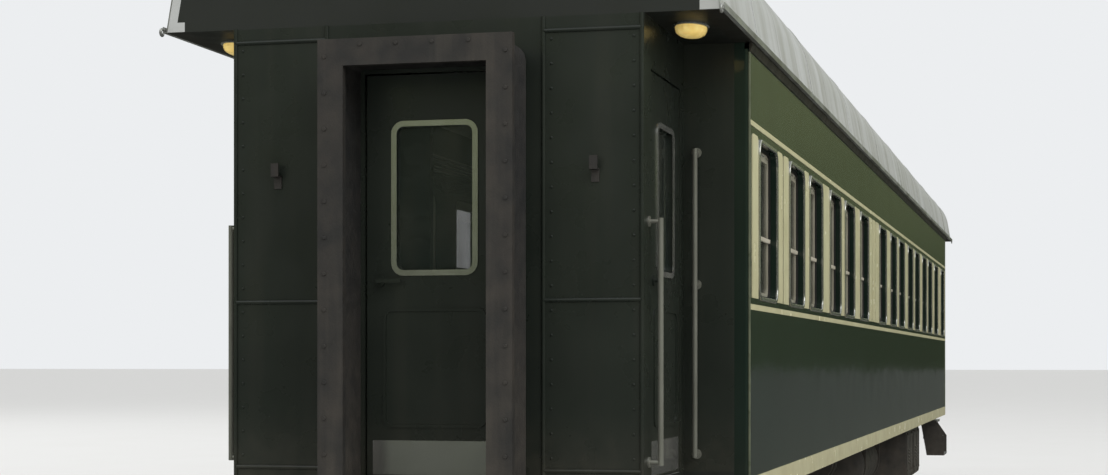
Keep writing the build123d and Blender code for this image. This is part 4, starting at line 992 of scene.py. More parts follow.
def rounded(width: float, height: float, radius: float, steps: int = 6) -> list[Flat]:
    """Return the corners of a rounded rectangle about the origin.

    Args:
        width: Its full width.
        height: Its full height.
        radius: Radius of its corners.
        steps: Steps round each corner.

    Returns:
        Its points, anticlockwise.
    """
    points = []
    for corner, (sign_x, sign_y) in enumerate(((1, 1), (-1, 1), (-1, -1), (1, -1))):
        for step in range(steps + 1):
            turn = QUARTER * (corner + step / steps)
            points.append((
                sign_x * (width / 2 - radius) + radius * math.cos(turn),
                sign_y * (height / 2 - radius) + radius * math.sin(turn),
            ))
    return points


def window_ring(outset: float, inset: float, depths: Flat, size: Size, steps: int = 6,
                middle: float = 0) -> list[list[Point]]:
    """Return the rings of a frame that follows a rounded window.

    Args:
        outset: Distance of its outer edge outside the window.
        inset: Distance of its inner edge inside the window.
        depths: Where the frame starts and ends along Y.
        size: Width, height and corner radius of the window.
        steps: Steps round each corner.
        middle: Height of the window's middle.

    Returns:
        Four-cornered rings round the window, for a closed loft.
    """
    width, height, radius = size
    low_y, high_y = depths
    outer = rounded(width + 2 * outset, height + 2 * outset, radius + outset, steps)
    inner = rounded(width - 2 * inset, height - 2 * inset, max(radius - inset, LEAST_RADIUS), steps)
    return [
        [(a[0], low_y, a[1] + middle), (a[0], high_y, a[1] + middle),
         (b[0], high_y, b[1] + middle), (b[0], low_y, b[1] + middle)]
        for a, b in zip(outer, inner)
    ]


def turned(profile: Sequence[Flat], sides: int) -> Form:
    """Return a form turned about Z.

    Args:
        profile: Radius and height pairs from the bottom up.
        sides: Steps round the axis.

    Returns:
        The form.
    """
    form = Form()
    form.lathe(profile, sides)
    return form


def small_bolt(radius: float, height: float) -> Form:
    """Return a six-sided bolt head that stands on the origin along +Z.

    Args:
        radius: Radius over its corners.
        height: Height of the head.

    Returns:
        The form.
    """
    return turned([(radius, 0), (radius, height * 0.75), (radius * 0.78, height)], sides=6)


def rivet(radius: float, height: float) -> Form:
    """Return a round rivet head that stands on the origin along +Z.

    Args:
        radius: Radius of its foot.
        height: Height of the head.

    Returns:
        The form.
    """
    return turned([(radius, 0), (radius * 0.8, height * 0.7), (radius * 0.35, height)], sides=8)


@dataclass
class Layout:
    """Sizes of the coach that several assemblies share, in metres."""

    pillars: Row = (
        0.209, 0.470, 0.230, 0.395, 0.230, 0.395, 0.940, 0.395,
        0.230, 0.395, 0.230, 0.395, 0.230, 0.395, 0.562, 0.210,
    )
    corner_gap: float = 0.087
    bay: float = 0.745
    half_side: float = 8.63
    half_body: float = 9.66
    half_width: float = 1.41
    wall_inner: float = 1.33
    vestibule: float = 1.06
    side_bottom: float = 1.028
    floor_top: float = 1.171
    frame_bottom: float = 1.001
    eave: float = 3.43
    window: Size = (0.67, 0.835, 0.07)
    window_middle: float = 2.5205
    seat_pillars: tuple[int, ...] = (1, 3, 5, 7, 9, 11, 13)
    entrance_x: float = 9.115
    bogie_x: float = 6.85
    half_wheelbase: float = 1.22
    axle_height: float = 0.46
    roof_half: float = 1.43
    roof_rise: float = 0.255
    roof_arc: float = 0.45
    roof_lean: float = 80
    roof_crown: float = 10
    roof_steps: int = 14

    def pillar_spans(self) -> list[Flat]:
        """Place the pillars along the side.

        Returns:
            The start and end of each.
        """
        spans = []
        start = self.corner_gap - self.half_side
        for width in self.pillars:
            spans.append((start, start + width))
            start += width + self.bay
        return spans

    def at_windows(self, depth: float, height: float) -> list[Place]:
        """Place a pattern drawn towards -Y at every window of both sides.

        Args:
            depth: Distance from the coach's middle plane.
            height: Height of its origin.

        Returns:
            The places.
        """
        spans = self.pillar_spans()
        middles = [(a[1] + b[0]) / 2 for a, b in zip(spans, spans[1:])]
        return [Place((x, side * depth, height), outward(side)) for side in BOTH for x in middles]

    def at_ends(self) -> list[Place]:
        """Place a pattern drawn for the front end wall at both ends.

        Returns:
            The two places.
        """
        return [Place((self.half_body, 0, 0)), Place((-self.half_body, 0, 0), (0, 0, math.pi))]

    def roof_points(self, inset: float) -> list[Flat]:
        """Return the roof's curve from the left eave over the crown to the right eave.

        Args:
            inset: Distance inside the outer skin.

        Returns:
            Y and Z of its points.
        """
        lean, crown = math.radians(self.roof_lean), math.radians(self.roof_crown)
        radius, steps = self.roof_arc - inset, self.roof_steps
        side_y = self.roof_half - self.roof_rise / math.tan(lean) - inset * math.sin(lean)
        side_z = self.eave + self.roof_rise - inset * math.cos(lean)
        centre = (side_y - radius * math.sin(lean), side_z - radius * math.cos(lean))
        half = [(side_y + (side_z - self.eave) / math.tan(lean), self.eave)]
        for step in range(steps + 1):
            turn = lean + (crown - lean) * step / steps
            half.append((centre[0] + radius * math.sin(turn), centre[1] + radius * math.cos(turn)))
        top_y, top_z = half[-1]
        big = top_y / math.sin(crown)
        for step in range(1, steps):
            turn = crown * (1 - step / steps)
            half.append((big * math.sin(turn), top_z + big * (math.cos(turn) - math.cos(crown))))
        crown_top = [(0.0, top_z + big * (1 - math.cos(crown)))]
        return half + crown_top + [(-y, z) for y, z in reversed(half)]


@dataclass
class Assembly:
    """A group of fittings, sized in metres, with the workshop and layout that all share."""

    shop: Workshop
    layout: Layout


@dataclass
class Bodyside(Assembly):
    """Seals, sash fittings, mouldings and fastenings of both sides."""

    sash_face: float = 1.365
    seal_depth: float = 0.012
    seal_edges: Flat = (-0.0005, 0.014)
    lifts: Outline = ((0.0, 0.16), (-0.24, 0.03), (0.24, 0.03))
    lift_outline: Outline = (
        (-0.001, 0), (-0.012, 0.002), (-0.014, 0.008), (-0.003, 0.014), (0.0, 0.014),
    )
    lift_drop: float = 0.042
    rail_outline: Outline = (
        (-0.001, -0.013), (-0.012, -0.011), (-0.014, 0.009), (-0.008, 0.013), (0.0, 0.013),
    )
    rail_inset: float = 0.016
    rail_drop: float = 0.083
    bead_edge: float = 0.011
    bead_face: float = 0.0115
    screw_size: Flat = (0.004, 0.001)
    screws: int = 5
    screw_margin: float = 0.09
    rivet_pitch: float = 0.11
    rivet_size: Flat = (0.004, 0.0015)
    rivet_sunk: float = 0.0002
    rivet_height: float = 3.372
    cornice_outline: Outline = (
        (0.001, 3.384), (-0.006, 3.386), (-0.010, 3.4), (-0.016, 3.408),
        (-0.018, 3.4285), (0.001, 3.4285),
    )
    corner_radius: float = 0.007
    corner_inset: float = 0.004
    corner_sunk: float = 0.002
    corner_top: float = 3.38

    def build(self) -> None:
        """Build the side fittings."""
        self.window_seals()
        self.sash_lifts()
        self.bead_screws()
        self.cant_rivets()
        self.meeting_rails()
        self.cornices()
        self.corner_beads()

    def window_seals(self) -> None:
        """Press a rubber seal between each sash and its bead."""
        form = Form()
        ring = window_ring(*self.seal_edges, (0, self.seal_depth), self.layout.window)
        form.loft(ring, closed=True)
        places = self.layout.at_windows(self.sash_face + self.seal_depth, self.layout.window_middle)
        self.shop.repeat("window_seals", form, places, "rubber_seal")

    def sash_lifts(self) -> None:
        """Fit a finger lift and two catches to the top of each sash."""
        form = Form()
        for middle, width in self.lifts:
            form.prism(self.lift_outline, Axis.X, middle - width / 2, middle + width / 2)
        top = self.layout.window_middle + self.layout.window[1] / 2
        places = self.layout.at_windows(self.sash_face, top - self.lift_drop)
        self.shop.repeat("sash_lifts", form, places, "bright_trim")

    def meeting_rails(self) -> None:
        """Run a meeting rail across each window, where its two sashes overlap."""
        form = Form()
        half = self.layout.window[0] / 2 - self.rail_inset
        form.prism(self.rail_outline, Axis.X, -half, half)
        places = self.layout.at_windows(self.sash_face, self.layout.window_middle - self.rail_drop)
        self.shop.repeat("meeting_rails", form, places, "sash_rail")

    def bead_screws(self) -> None:
        """Set small screws above and below every window, in its bead."""
        width, height, _ = self.layout.window
        pitch_span = width - 2 * self.screw_margin
        places = []
        for window in self.layout.at_windows(self.layout.half_width + self.bead_face, 0):
            x, y, _ = window.at
            side = -1 if y < 0 else 1
            for step in range(self.screws):
                along = -width / 2 + self.screw_margin + step * pitch_span / (self.screws - 1)
                for edge in BOTH:
                    z = self.layout.window_middle + edge * (height / 2 + self.bead_edge)
                    places.append(Place((x + along, y, z), on_side(side)))
        self.shop.repeat("bead_screws", rivet(*self.screw_size), places, "bright_trim")

    def cant_rivets(self) -> None:
        """Set a row of rivets along the cant panel of each side."""
        half = self.layout.half_side
        depth = self.layout.half_width - self.rivet_sunk
        places = [
            Place((-half + step * self.rivet_pitch, side * depth, self.rivet_height), on_side(side))
            for side in BOTH
            for step in range(1, int(2 * half / self.rivet_pitch))
        ]
        self.shop.repeat("cant_rivets", rivet(*self.rivet_size), places, "green_enamel")

    def cornices(self) -> None:
        """Run a cornice moulding under each gutter, dark as painted shade under the eave."""
        form = Form()
        form.prism(self.cornice_outline, Axis.X, -self.layout.half_side, self.layout.half_side)
        places = [Place((0, side * self.layout.half_width, 0), outward(side)) for side in BOTH]
        self.shop.repeat("cornices", form, places, "cornice_paint")

    def corner_beads(self) -> None:
        """Cover the upright corners of both sides with a round bead, pale as a painted highlight along
        each corner.
        """
        form = Form()
        path = [(0, 0, self.layout.side_bottom + self.corner_inset), (0, 0, self.corner_top)]
        form.tube(path, self.corner_radius, THIN_SIDES)
        reach = self.layout.half_side - (self.corner_radius + self.corner_inset)
        depth = self.layout.half_width - self.corner_sunk
        places = [Place((end * reach, side * depth, 0)) for end, side in CORNERS]
        self.shop.repeat("corner_beads", form, places, "edge_paint")


@dataclass
class RoofTrim(Assembly):
    """Seams, flashings, end mouldings and gutter ends of the roof."""

    seam_pitch: float = 2.4
    seam_start: float = -8.4
    seam_count: int = 8
    seam_width: float = 0.045
    seam_height: float = 0.004
    seam_sunk: float = 0.001
    moulding: float = 0.02
    moulding_depths: Flat = (0.003, 0.004)
    ventilator_start: float = -7.2
    ventilators: int = 7
    ventilator_y: float = 0.42
    ventilator_lean: float = 0.056
    cowl_parts: Row = (0.085, 0.0425, 0.06, 0.008)
    flashing: Outline = (
        (0.105, -0.02), (0.105, 0.012), (0.095, 0.018), (0.066, 0.022), (0.062, 0.034),
    )
    curl_radius: float = 0.016
    curl_steps: int = 9
    curl_turn: float = 1.35
    curl_start: Flat = (-0.03, 0.014)
    spout_radius: float = 0.0075
    spout_top: float = 0.016
    spout_reach: float = 0.002
    gutter_y: float = 1.441

    def build(self) -> None:
        """Build the roof fittings."""
        self.seams()
        self.flashings()
        self.gutter_ends()
        self.end_mouldings()

    def band(self, low: float, high: float, proud: float, sunk: float) -> Form:
        """Return a band that follows the roof.

        Args:
            low: Where it starts along X.
            high: Where it ends.
            proud: Height of its face over the skin.
            sunk: Depth of its back below the skin.

        Returns:
            The form.
        """
        form = Form()
        outer, inner = self.layout.roof_points(-proud), self.layout.roof_points(sunk)
        form.loft([[(low, *a), (high, *a), (high, *b), (low, *b)] for a, b in zip(outer, inner)])
        return form

    def seams(self) -> None:
        """Lay cover strips over the joints between the roof sheets."""
        half = self.seam_width / 2
        places = [
            Place((self.seam_start + step * self.seam_pitch, 0, 0)) for step in range(self.seam_count)
        ]
        form = self.band(-half, half, self.seam_height, self.seam_sunk)
        self.shop.repeat("roof_seams", form, places, "roof_paint")

    def end_mouldings(self) -> None:
        """Edge the roof with a rounded moulding at both ends."""
        form = self.band(-self.moulding, 0.0, *self.moulding_depths)
        places = [Place((self.layout.half_body, 0, 0)),
                  Place((self.moulding - self.layout.half_body, 0, 0))]
        self.shop.repeat("roof_end_mouldings", form, places, "gutter_metal")

    def flashings(self) -> None:
        """Set a flashing round the stem of each ventilator."""
        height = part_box("roof_ventilators")[1].z
        for part in self.cowl_parts:
            height -= part
        places = []
        for step, side in product(range(self.ventilators), BOTH):
            at = (self.ventilator_start + step * self.seam_pitch, side * self.ventilator_y, height)
            places.append(Place(at, (-side * self.ventilator_lean, 0, 0)))
        self.shop.repeat("ventilator_flashings", turned(self.flashing, sides=24), places, "roof_paint")

    def gutter_ends(self) -> None:
        """Turn the end of each gutter into a curled spout."""
        form = Form()
        radius, (start_x, start_z) = self.curl_radius, self.curl_start
        path = [(0.0, 0.0, self.spout_top), (start_x, 0.0, start_z)]
        for step in range(self.curl_steps):
            turn = math.pi * self.curl_turn * step / (self.curl_steps - 1)
            x, z = start_x - radius * math.sin(turn), start_z - radius * (1 - math.cos(turn))
            path.append((x, 0.0, z))
        form.tube(path, self.spout_radius, THIN_SIDES)
        reach = self.layout.half_body + self.spout_reach
        places = [
            Place((end * reach, side * self.gutter_y, self.layout.eave), outward(end))
            for end, side in CORNERS
        ]
        self.shop.repeat("gutter_spouts", form, places, "gutter_metal")


@dataclass
class DoorDressing(Assembly):
    """Beads, panels and plates of the doors."""

    window: Size = (0.40, 0.72, 0.04)
    window_middle: float = 2.561
    half_leaf: float = 0.0225
    bead_height: float = 0.007
    bead_edges: Flat = (0.024, 0.004)
    plate_height: float = 0.002
    plate_margin: float = 0.03
    plate_z: Flat = (1.19, 1.36)
    panel_edges: Flat = (0.016, 0.0)
    panel_radius: float = 0.03
    panel_margin: float = 0.2
    panel_height: float = 0.56
    panel_middle: float = 1.72
    entrance_y: float = 1.0325
    entrance_half: float = 0.377
    gangway_x: float = 9.6225
    gangway_half: float = 0.352

    def build(self) -> None:
        """Dress all the doors."""
        for end, end_sign in (("front", 1), ("rear", -1)):
            for side, side_sign in (("left", 1), ("right", -1)):
                at = (end_sign * self.layout.entrance_x, side_sign * self.entrance_y, 0.0)
                place = Place(at, outward(side_sign))
                self.dress(f"entrance_door_{end}_{side}", place, self.entrance_half)
            place = Place((end_sign * self.gangway_x, 0, 0), (0, 0, end_sign * QUARTER))
            self.dress(f"gangway_door_{end}", place, self.gangway_half)

    def dress(self, door: str, place: Place, half_width: float) -> None:
        """Dress one door, drawn with its outer face towards -Y.

        Args:
            door: Name of the door's body and node.
            place: Where its middle stands.
            half_width: Half of the leaf's width.
        """
        beads, panels = Form(), Form()
        edge = half_width - self.plate_margin
        low, high = self.plate_z
        plate = [(-edge, low), (edge, low), (edge, high), (-edge, high)]
        panel = (2 * half_width - self.panel_margin, self.panel_height, self.panel_radius)
        for face in BOTH:
            near = face * self.half_leaf
            bead_depths = tuple(sorted((near, face * (self.half_leaf + self.bead_height))))
            plate_depths = tuple(sorted((near, face * (self.half_leaf + self.plate_height))))
            ring = window_ring(*self.bead_edges, bead_depths, self.window, middle=self.window_middle)
            beads.loft(ring, closed=True)
            beads.prism(plate, Axis.Y, *plate_depths)
            ring = window_ring(*self.panel_edges, bead_depths, panel, steps=3, middle=self.panel_middle)
            panels.loft(ring, closed=True)
        self.shop.repeat(f"{door}_beads", beads, [place], "bright_trim", door)
        self.shop.repeat(f"{door}_panels", panels, [place], "recess_enamel", door)


@dataclass
class Entrance(Assembly):
    """Lamps, step treads, thresholds and handrail screws at the four entrances."""

    lamp: Flat = (0.15, 0.09)
    lamp_at: Flat = (9.23, 1.21)
    lamp_steps: int = 32
    lamp_rib: float = 0.018
    lamp_sunk: float = 0.0002
    bowl: Outline = (
        (0.86, -0.010), (0.86, -0.026), (0.78, -0.042), (0.58, -0.054), (0.3, -0.0605),
    )
    rim: Outline = (
        (1.0, 0.0), (1.0, -0.008), (0.96, -0.013), (0.88, -0.014), (0.86, -0.010), (0.86, 0.0),
    )
    tread_tops: Row = (0.496, 0.721, 0.946)
    tread_edge: float = 1.385
    tread_lean: float = 0.0475
    ribs: int = 8
    rib_pitch: float = 0.021
    rib_start: float = 0.05
    half_rib: float = 0.31
    rib_outline: Outline = ((-0.004, 0), (0.004, 0), (0.0025, 0.003), (-0.0025, 0.003))
    half_nosing: float = 0.325
    nosing_outline: Outline = (
        (-0.012, -0.02), (0.0, -0.02), (0.002, 0.002), (-0.03, 0.0025), (-0.03, 0.0),
    )
    threshold_y: float = 1.011
    threshold_ribs: int = 5
    threshold_start: float = 0.004
    threshold_pitch: float = 0.01
    threshold_rib: Size = (0.003, 0.0015, 0.003)
    half_threshold: float = 0.37
    foot_heights: Row = (1.262, 2.158, 2.855)
    foot_y: float = 1.13
    foot_plate: float = 0.008
    foot_spread: float = 0.018
    foot_screw: Flat = (0.005, 0.003)

    def build(self) -> None:
        """Build the entrance fittings."""
        self.lamps()
        self.treads()
        self.thresholds()
        self.rail_feet()

    def oval(self, share: float, drop: float, rib: float = 0) -> list[Point]:
        """Return one ring of the lamp.

        Args:
            share: Size of the ring as a share of the lamp.
            drop: Height of the ring.
            rib: How far the ribs stand out, as a share.

        Returns:
            Its points.
        """
        long_radius, short_radius = self.lamp
        ring = []
        for step in range(self.lamp_steps):
            turn = 2 * math.pi * step / self.lamp_steps
            ribbed = share * (1.0 + (rib if step % 2 else -rib))
            ring.append((long_radius * ribbed * math.cos(turn),
                         short_radius * ribbed * math.sin(turn), drop))
        return ring

    def lamps(self) -> None:
        """Hang a ribbed oval glass in its metal ring over each entrance."""
        glass, ring = Form(), Form()
        glass.loft([self.oval(share, drop, self.lamp_rib) for share, drop in self.bowl])
        ring.loft([self.oval(share, drop) for share, drop in self.rim], closed=True)
        x, y = self.lamp_at
        height = self.layout.eave - self.lamp_sunk
        places = [Place((end * x, side * y, height)) for end, side in CORNERS]
        self.shop.repeat("recess_lamp_glasses", glass, places, "amber_glass", replaces=("recess_lamps",))
        self.shop.repeat("recess_lamp_rings", ring, places, "bright_trim")

    def treads(self) -> None:
        """Lay anti-slip ribs and a bright nosing on every step."""
        rib, nosing = Form(), Form()
        rib.prism(self.rib_outline, Axis.X, -self.half_rib, self.half_rib)
        nosing.prism(self.nosing_outline, Axis.X, -self.half_nosing, self.half_nosing)
        ribs, nosings = [], []
        for end, side in CORNERS:
            x = end * self.layout.entrance_x
            for step, top in enumerate(self.tread_tops):
                edge = self.tread_edge - step * self.tread_lean
                nosings.append(Place((x, side * edge, top), outward(-side)))
                for line in range(self.ribs):
                    y = side * (edge - self.rib_start - self.rib_pitch * line)
                    ribs.append(Place((x, y, top)))
        self.shop.repeat("step_ribs", rib, ribs, "frame_paint")
        self.shop.repeat("step_nosings", nosing, nosings, "gutter_metal")

    def thresholds(self) -> None:
        """Lay a ribbed bright plate under each entrance door."""
        form = Form()
        foot, crest, rise = self.threshold_rib
        for line in range(self.threshold_ribs):
            y = self.threshold_start + line * self.threshold_pitch
            outline = [(y - foot, 0), (y + foot, 0), (y + crest, rise), (y - crest, rise)]
            form.prism(outline, Axis.X, -self.half_threshold, self.half_threshold)
        x, z = self.layout.entrance_x, self.layout.floor_top
        places = [Place((end * x, side * self.threshold_y, z), outward(-side)) for end, side in CORNERS]
        self.shop.repeat("door_thresholds", form, places, "gutter_metal")

    def rail_feet(self) -> None:
        """Set two screws in the foot of each handrail bracket of the recess walls."""
        places = []
        for (end, side), height in product(CORNERS, self.foot_heights):
            for offset in (-self.foot_spread, self.foot_spread):
                x = end * (self.layout.half_side + self.foot_plate)
                places.append(Place((x, side * self.foot_y, height + offset), on_end(end)))
        self.shop.repeat("rail_foot_screws", rivet(*self.foot_screw), places, "bright_trim")


@dataclass
class EndWalls(Assembly):
    """Beads, rivets and lamp irons of both end walls."""

    bead_radius: float = 0.011
    bead_heights: Row = (1.22, 2.05, 3.36)
    upright_z: Flat = (1.115, 3.43)
    clear_of_gangway: float = 0.56
    rivet_size: Flat = (0.008, 0.005)
    rivet_margins: Flat = (0.04, 0.05)
    rivets_up: int = 18
    rivet_start: float = 1.28
    rivet_pitch: float = 0.12
    iron_y: float = 0.82
    half_iron: float = 0.02
    iron_z: float = 2.62
    iron_outline: Outline = (
        (0.0, 0.0), (0.007, 0.0), (0.007, 0.058), (0.052, 0.058), (0.052, 0.125),
        (0.045, 0.125), (0.045, 0.066), (0.0, 0.066),
    )

    def build(self) -> None:
        """Build the fittings of the end walls."""
        self.beads()
        self.rivets()
        self.lamp_irons()

    def beads(self) -> None:
        """Run half-round beads up the corners and across each wall."""
        form = Form()
        low, high = self.upright_z
        for side in BOTH:
            outer = side * (self.layout.vestibule - self.bead_radius)
            inner = side * self.clear_of_gangway
            for y in (outer, inner):
                form.tube([(0, y, low), (0, y, high)], self.bead_radius)
            for height in self.bead_heights:
                form.tube([(0, inner, height), (0, outer, height)], self.bead_radius)
        self.shop.repeat("end_wall_beads", form, self.layout.at_ends(), "recess_enamel")

    def rivets(self) -> None:
        """Set rivets beside the upright beads."""
        inner, outer = self.rivet_margins
        rows = (self.clear_of_gangway + inner, self.layout.vestibule - outer)
        places = []
        for (end, side), y, step in product(CORNERS, rows, range(self.rivets_up)):
            z = self.rivet_start + step * self.rivet_pitch
            places.append(Place((end * self.layout.half_body, side * y, z), on_end(end)))
        self.shop.repeat("end_wall_rivets", rivet(*self.rivet_size), places, "recess_enamel")

    def lamp_irons(self) -> None:
        """Fit a lamp iron on each side of the gangway."""
        form = Form()
        raised = [(x, z + self.iron_z) for x, z in self.iron_outline]
        for side in BOTH:
            middle = side * self.iron_y
            form.prism(raised, Axis.Y, middle - self.half_iron, middle + self.half_iron)
        self.shop.repeat("lamp_irons", form, self.layout.at_ends(), "frame_paint")


@dataclass
class Gangway(Assembly):
    """Pleated bellows, faceplate bolts and coupler fittings at both ends."""

    pleats: int = 9
    reach: float = 0.275
    pleat_fill: float = 0.985
    fold: Outline = (
        (0.0, 0.0), (0.0, 0.03), (0.42, 0.09), (0.5, 0.095), (0.58, 0.09), (1.0, 0.03), (1.0, 0.0),
    )
    corner: Flat = (0.02, 0.6)
    inner: Flat = (0.38, 1.025)
    middle: float = 2.176
    face_x: float = 0.315
    bolt_y: float = 0.455
    bolt_z: float = 1.105
    bolt_size: Flat = (0.011, 0.006)
    bolts_up: int = 13
    bolts_up_start: float = -1.05
    bolts_up_pitch: float = 0.175
    bolts_across: int = 4
    bolts_across_pitch: float = 0.182
    rod_radius: float = 0.011
    rod: tuple[Point, ...] = (
        (0.03, -0.95, 0.98), (0.03, -0.5, 0.98), (0.09, -0.42, 0.95), (0.14, -0.2, 0.93),
        (0.16, -0.07, 0.99), (0.17, 0.0, 1.04),
    )
    handle: tuple[Point, ...] = ((0.03, -0.95, 0.98), (0.035, -0.98, 0.965), (0.04, -0.985, 0.87))
    bracket: Outline = ((0.0, 0.955), (0.042, 0.955), (0.05, 0.98), (0.042, 1.003), (0.0, 1.003))
    brackets_y: Flat = (-0.9, -0.56)
    half_bracket: float = 0.008

    def build(self) -> None:
        """Build the gangway fittings."""
        self.bellows()
        self.face_bolts()
        self.coupler_fittings()

    def bellows(self) -> None:
        """Fold the bellows into pleats between the end wall and the faceplate."""
        pitch = self.reach / self.pleats
        wide, tall = self.inner
        radius, growth = self.corner
        rings = []
        for along, out in self.fold:
            outline = rounded(2 * (wide + out), 2 * (tall + out), radius + out * growth, steps=4)
            rings.append([(along * pitch * self.pleat_fill, y, z) for y, z in outline])
        form = Form()
        form.loft(rings, closed=True)
        places = []
        for end, number in product(BOTH, range(self.pleats)):
            start = self.layout.half_body + number * pitch
            places.append(Place((start if end > 0 else -start - pitch, 0, self.middle)))
        self.shop.repeat("bellows_pleats", form, places, "bellows_cloth", replaces=("gangway_bellows",))

    def face_bolts(self) -> None:
        """Bolt the faceplates round their rims."""
        places = []
        for end in BOTH:
            x = end * (self.layout.half_body + self.face_x)
            for step in range(self.bolts_up):
                z = self.middle + self.bolts_up_start + step * self.bolts_up_pitch
                places += [Place((x, side * self.bolt_y, z), on_end(end)) for side in BOTH]
            for step in range(self.bolts_across):
                y = -self.bolt_y + (step + 1) * self.bolts_across_pitch
                places += [Place((x, y, self.middle + row * self.bolt_z), on_end(end)) for row in BOTH]
        self.shop.repeat("faceplate_bolts", small_bolt(*self.bolt_size), places, "frame_paint")

    def coupler_fittings(self) -> None:
        """Fit the uncoupling rod with its brackets under each headstock."""
        form = Form()
        for path in (self.rod, self.handle):
            form.tube(path, self.rod_radius, THIN_SIDES)
        for y in self.brackets_y:
            form.prism(self.bracket, Axis.Y, y - self.half_bracket, y + self.half_bracket)
        self.shop.repeat("uncoupling_rods", form, self.layout.at_ends(), "frame_paint")


@dataclass
class BogieDressing(Assembly):
    """Springs, bolts and covers of one bogie."""

    end: str
    centre: float
    coil: Point = (0.56, 0.88, 0.425)
    coil_turns: float = 5.5
    coil_radius: float = 0.08
    coil_height: float = 0.32
    wire: float = 0.015
    leaves: int = 5
    leaf_thickness: float = 0.012
    half_leaf: float = 0.15
    leaf_arch: float = 0.062
    leaf_middle: float = 0.53
    leaf_y: float = 0.64
    leaf_gap: float = 0.001
    leaf_clear: float = 0.004
    leaf_shorter: float = 0.17
    leaf_steps: int = 8
    half_leaf_width: float = 0.12
    clamp: Flat = (0.13, 0.035)
    clamps_z: Outline = ((0.4005, 0.425), (0.632, 0.6595))
    seat: Flat = (0.19, 0.02)
    seats_z: Outline = ((0.4102, 0.425), (0.745, 0.7598))
    bolt_size: Flat = (0.016, 0.012)
    pedestal_x: Flat = (-0.17, 0.17)
    pedestal_z: Row = (0.34, 0.40, 0.80, 0.85)
    beam_x: float = 1.62
    beam_bolts: Outline = ((-0.02, 0.77), (0.02, 0.83))
    transom_x: float = 0.24
    transom_bolts: Flat = (-0.03, 0.03)
    transom_start: float = 0.64
    transom_pitch: float = 0.07
    transom_rows: int = 3
    frame_face: float = 0.925
    box_face: float = 0.995
    cover_bolts: int = 6
    cover_circle: float = 0.078
    cover_turn: float = 0.3
    cover_bolt: Flat = (0.009, 0.009)
    cover_rim: float = 0.01
    dome: Outline = ((0.092, 0), (0.092, 0.006), (0.078, 0.012), (0.05, 0.017), (0.02, 0.019))

    def build(self) -> None:
        """Build the bogie's fittings."""
        self.coils()
        self.leaf_springs()
        self.bolts()
        self.covers()

    def keep(self, name: str, form: Form, places: Sequence[Place]) -> None:
        """Repeat an iron form as a piece of this bogie.

        Args:
            name: Name of the piece after the bogie's own.
            form: Form to repeat.
            places: Where its copies stand.
        """
        body = f"bogie_{self.end}"
        self.shop.repeat(f"{body}_{name}", form, places, "bogie_iron", body)

    def at_coils(self, height: float) -> list[Place]:
        """Place a pattern at each of the four coils.

        Args:
            height: Height of its origin.

        Returns:
            The places.
        """
        x, y, _ = self.coil
        return [Place((self.centre + along * x, side * y, height)) for along, side in CORNERS]

    def coils(self) -> None:
        """Wind the coil springs over the equalisers."""
        body = f"bogie_{self.end}"
        inputs = {"Turns": self.coil_turns, "Radius": self.coil_radius - self.wire,
                  "Height": self.coil_height - 2 * self.wire, "Wire": self.wire}
        self.shop.grow(f"{body}_coils", self.shop.coil_tree, self.at_coils(self.coil[2] + self.wire),
                       inputs, "bogie_iron", body, (f"{body}_springs",))

    def leaf_springs(self) -> None:
        """Stack the leaf springs under the bolster and seat the coils."""
        form, seat = Form(), Form()
        wide = self.half_leaf_width
        for upper, leaf in product(BOTH, range(self.leaves)):
            half = self.half_leaf * (1 - self.leaf_shorter * leaf)
            rows = []
            for step in range(self.leaf_steps + 1):
                y = -half + 2 * half * step / self.leaf_steps
                arch = self.leaf_arch * (1 - (y / self.half_leaf) ** 2)
                lift = self.leaf_clear + arch + leaf * (self.leaf_thickness + self.leaf_gap)
                inner = self.leaf_middle + upper * lift
                outer = inner + upper * self.leaf_thickness
                rows.append([(-wide, y, inner), (wide, y, inner), (wide, y, outer), (-wide, y, outer)])
            form.loft(rows)
        x, y = self.clamp
        for low, high in self.clamps_z:
            form.block((-x, -y, low), (x, y, high))
        places = [Place((self.centre, side * self.leaf_y, 0)) for side in BOTH]
        self.keep("leaf_springs", form, places)
        width, radius = self.seat
        for low, high in self.seats_z:
            seat.prism(rounded(width, width, radius, steps=3), Axis.Z, low, high)
        self.keep("spring_seats", seat, self.at_coils(0))

    def bolts(self) -> None:
        """Bolt the pedestal ties, the transoms and the end beams to the side frames."""
        places = []
        for side, along in CORNERS:
            axle = self.centre + along * self.layout.half_wheelbase
            spots = [(axle + x, z) for x in self.pedestal_x for z in self.pedestal_z]
            beam, transom = self.centre + along * self.beam_x, self.centre + along * self.transom_x
            spots += [(beam + x, z) for x, z in self.beam_bolts]
            spots += [(transom + x, self.transom_start + row * self.transom_pitch)
                      for row in range(self.transom_rows) for x in self.transom_bolts]
            places += [Place((x, side * self.frame_face, z), on_side(side)) for x, z in spots]
        self.keep("bolts", small_bolt(*self.bolt_size), places)

    def covers(self) -> None:
        """Bolt a domed cover on each axlebox."""
        places, bolt_places = [], []
        height, radius = self.layout.axle_height, self.cover_circle
        for side, along in CORNERS:
            face = side * self.box_face
            axle = self.centre + along * self.layout.half_wheelbase
            places.append(Place((axle, face, height), on_side(side)))
            for step in range(self.cover_bolts):
                angle = 2 * math.pi / self.cover_bolts * step + self.cover_turn
                x, z = axle + radius * math.cos(angle), height + radius * math.sin(angle)
                bolt_places.append(Place((x, face + side * self.cover_rim, z), on_side(side)))
        self.keep("axlebox_covers", turned(self.dome, sides=28), places)
        self.keep("cover_bolts", small_bolt(*self.cover_bolt), bolt_places)


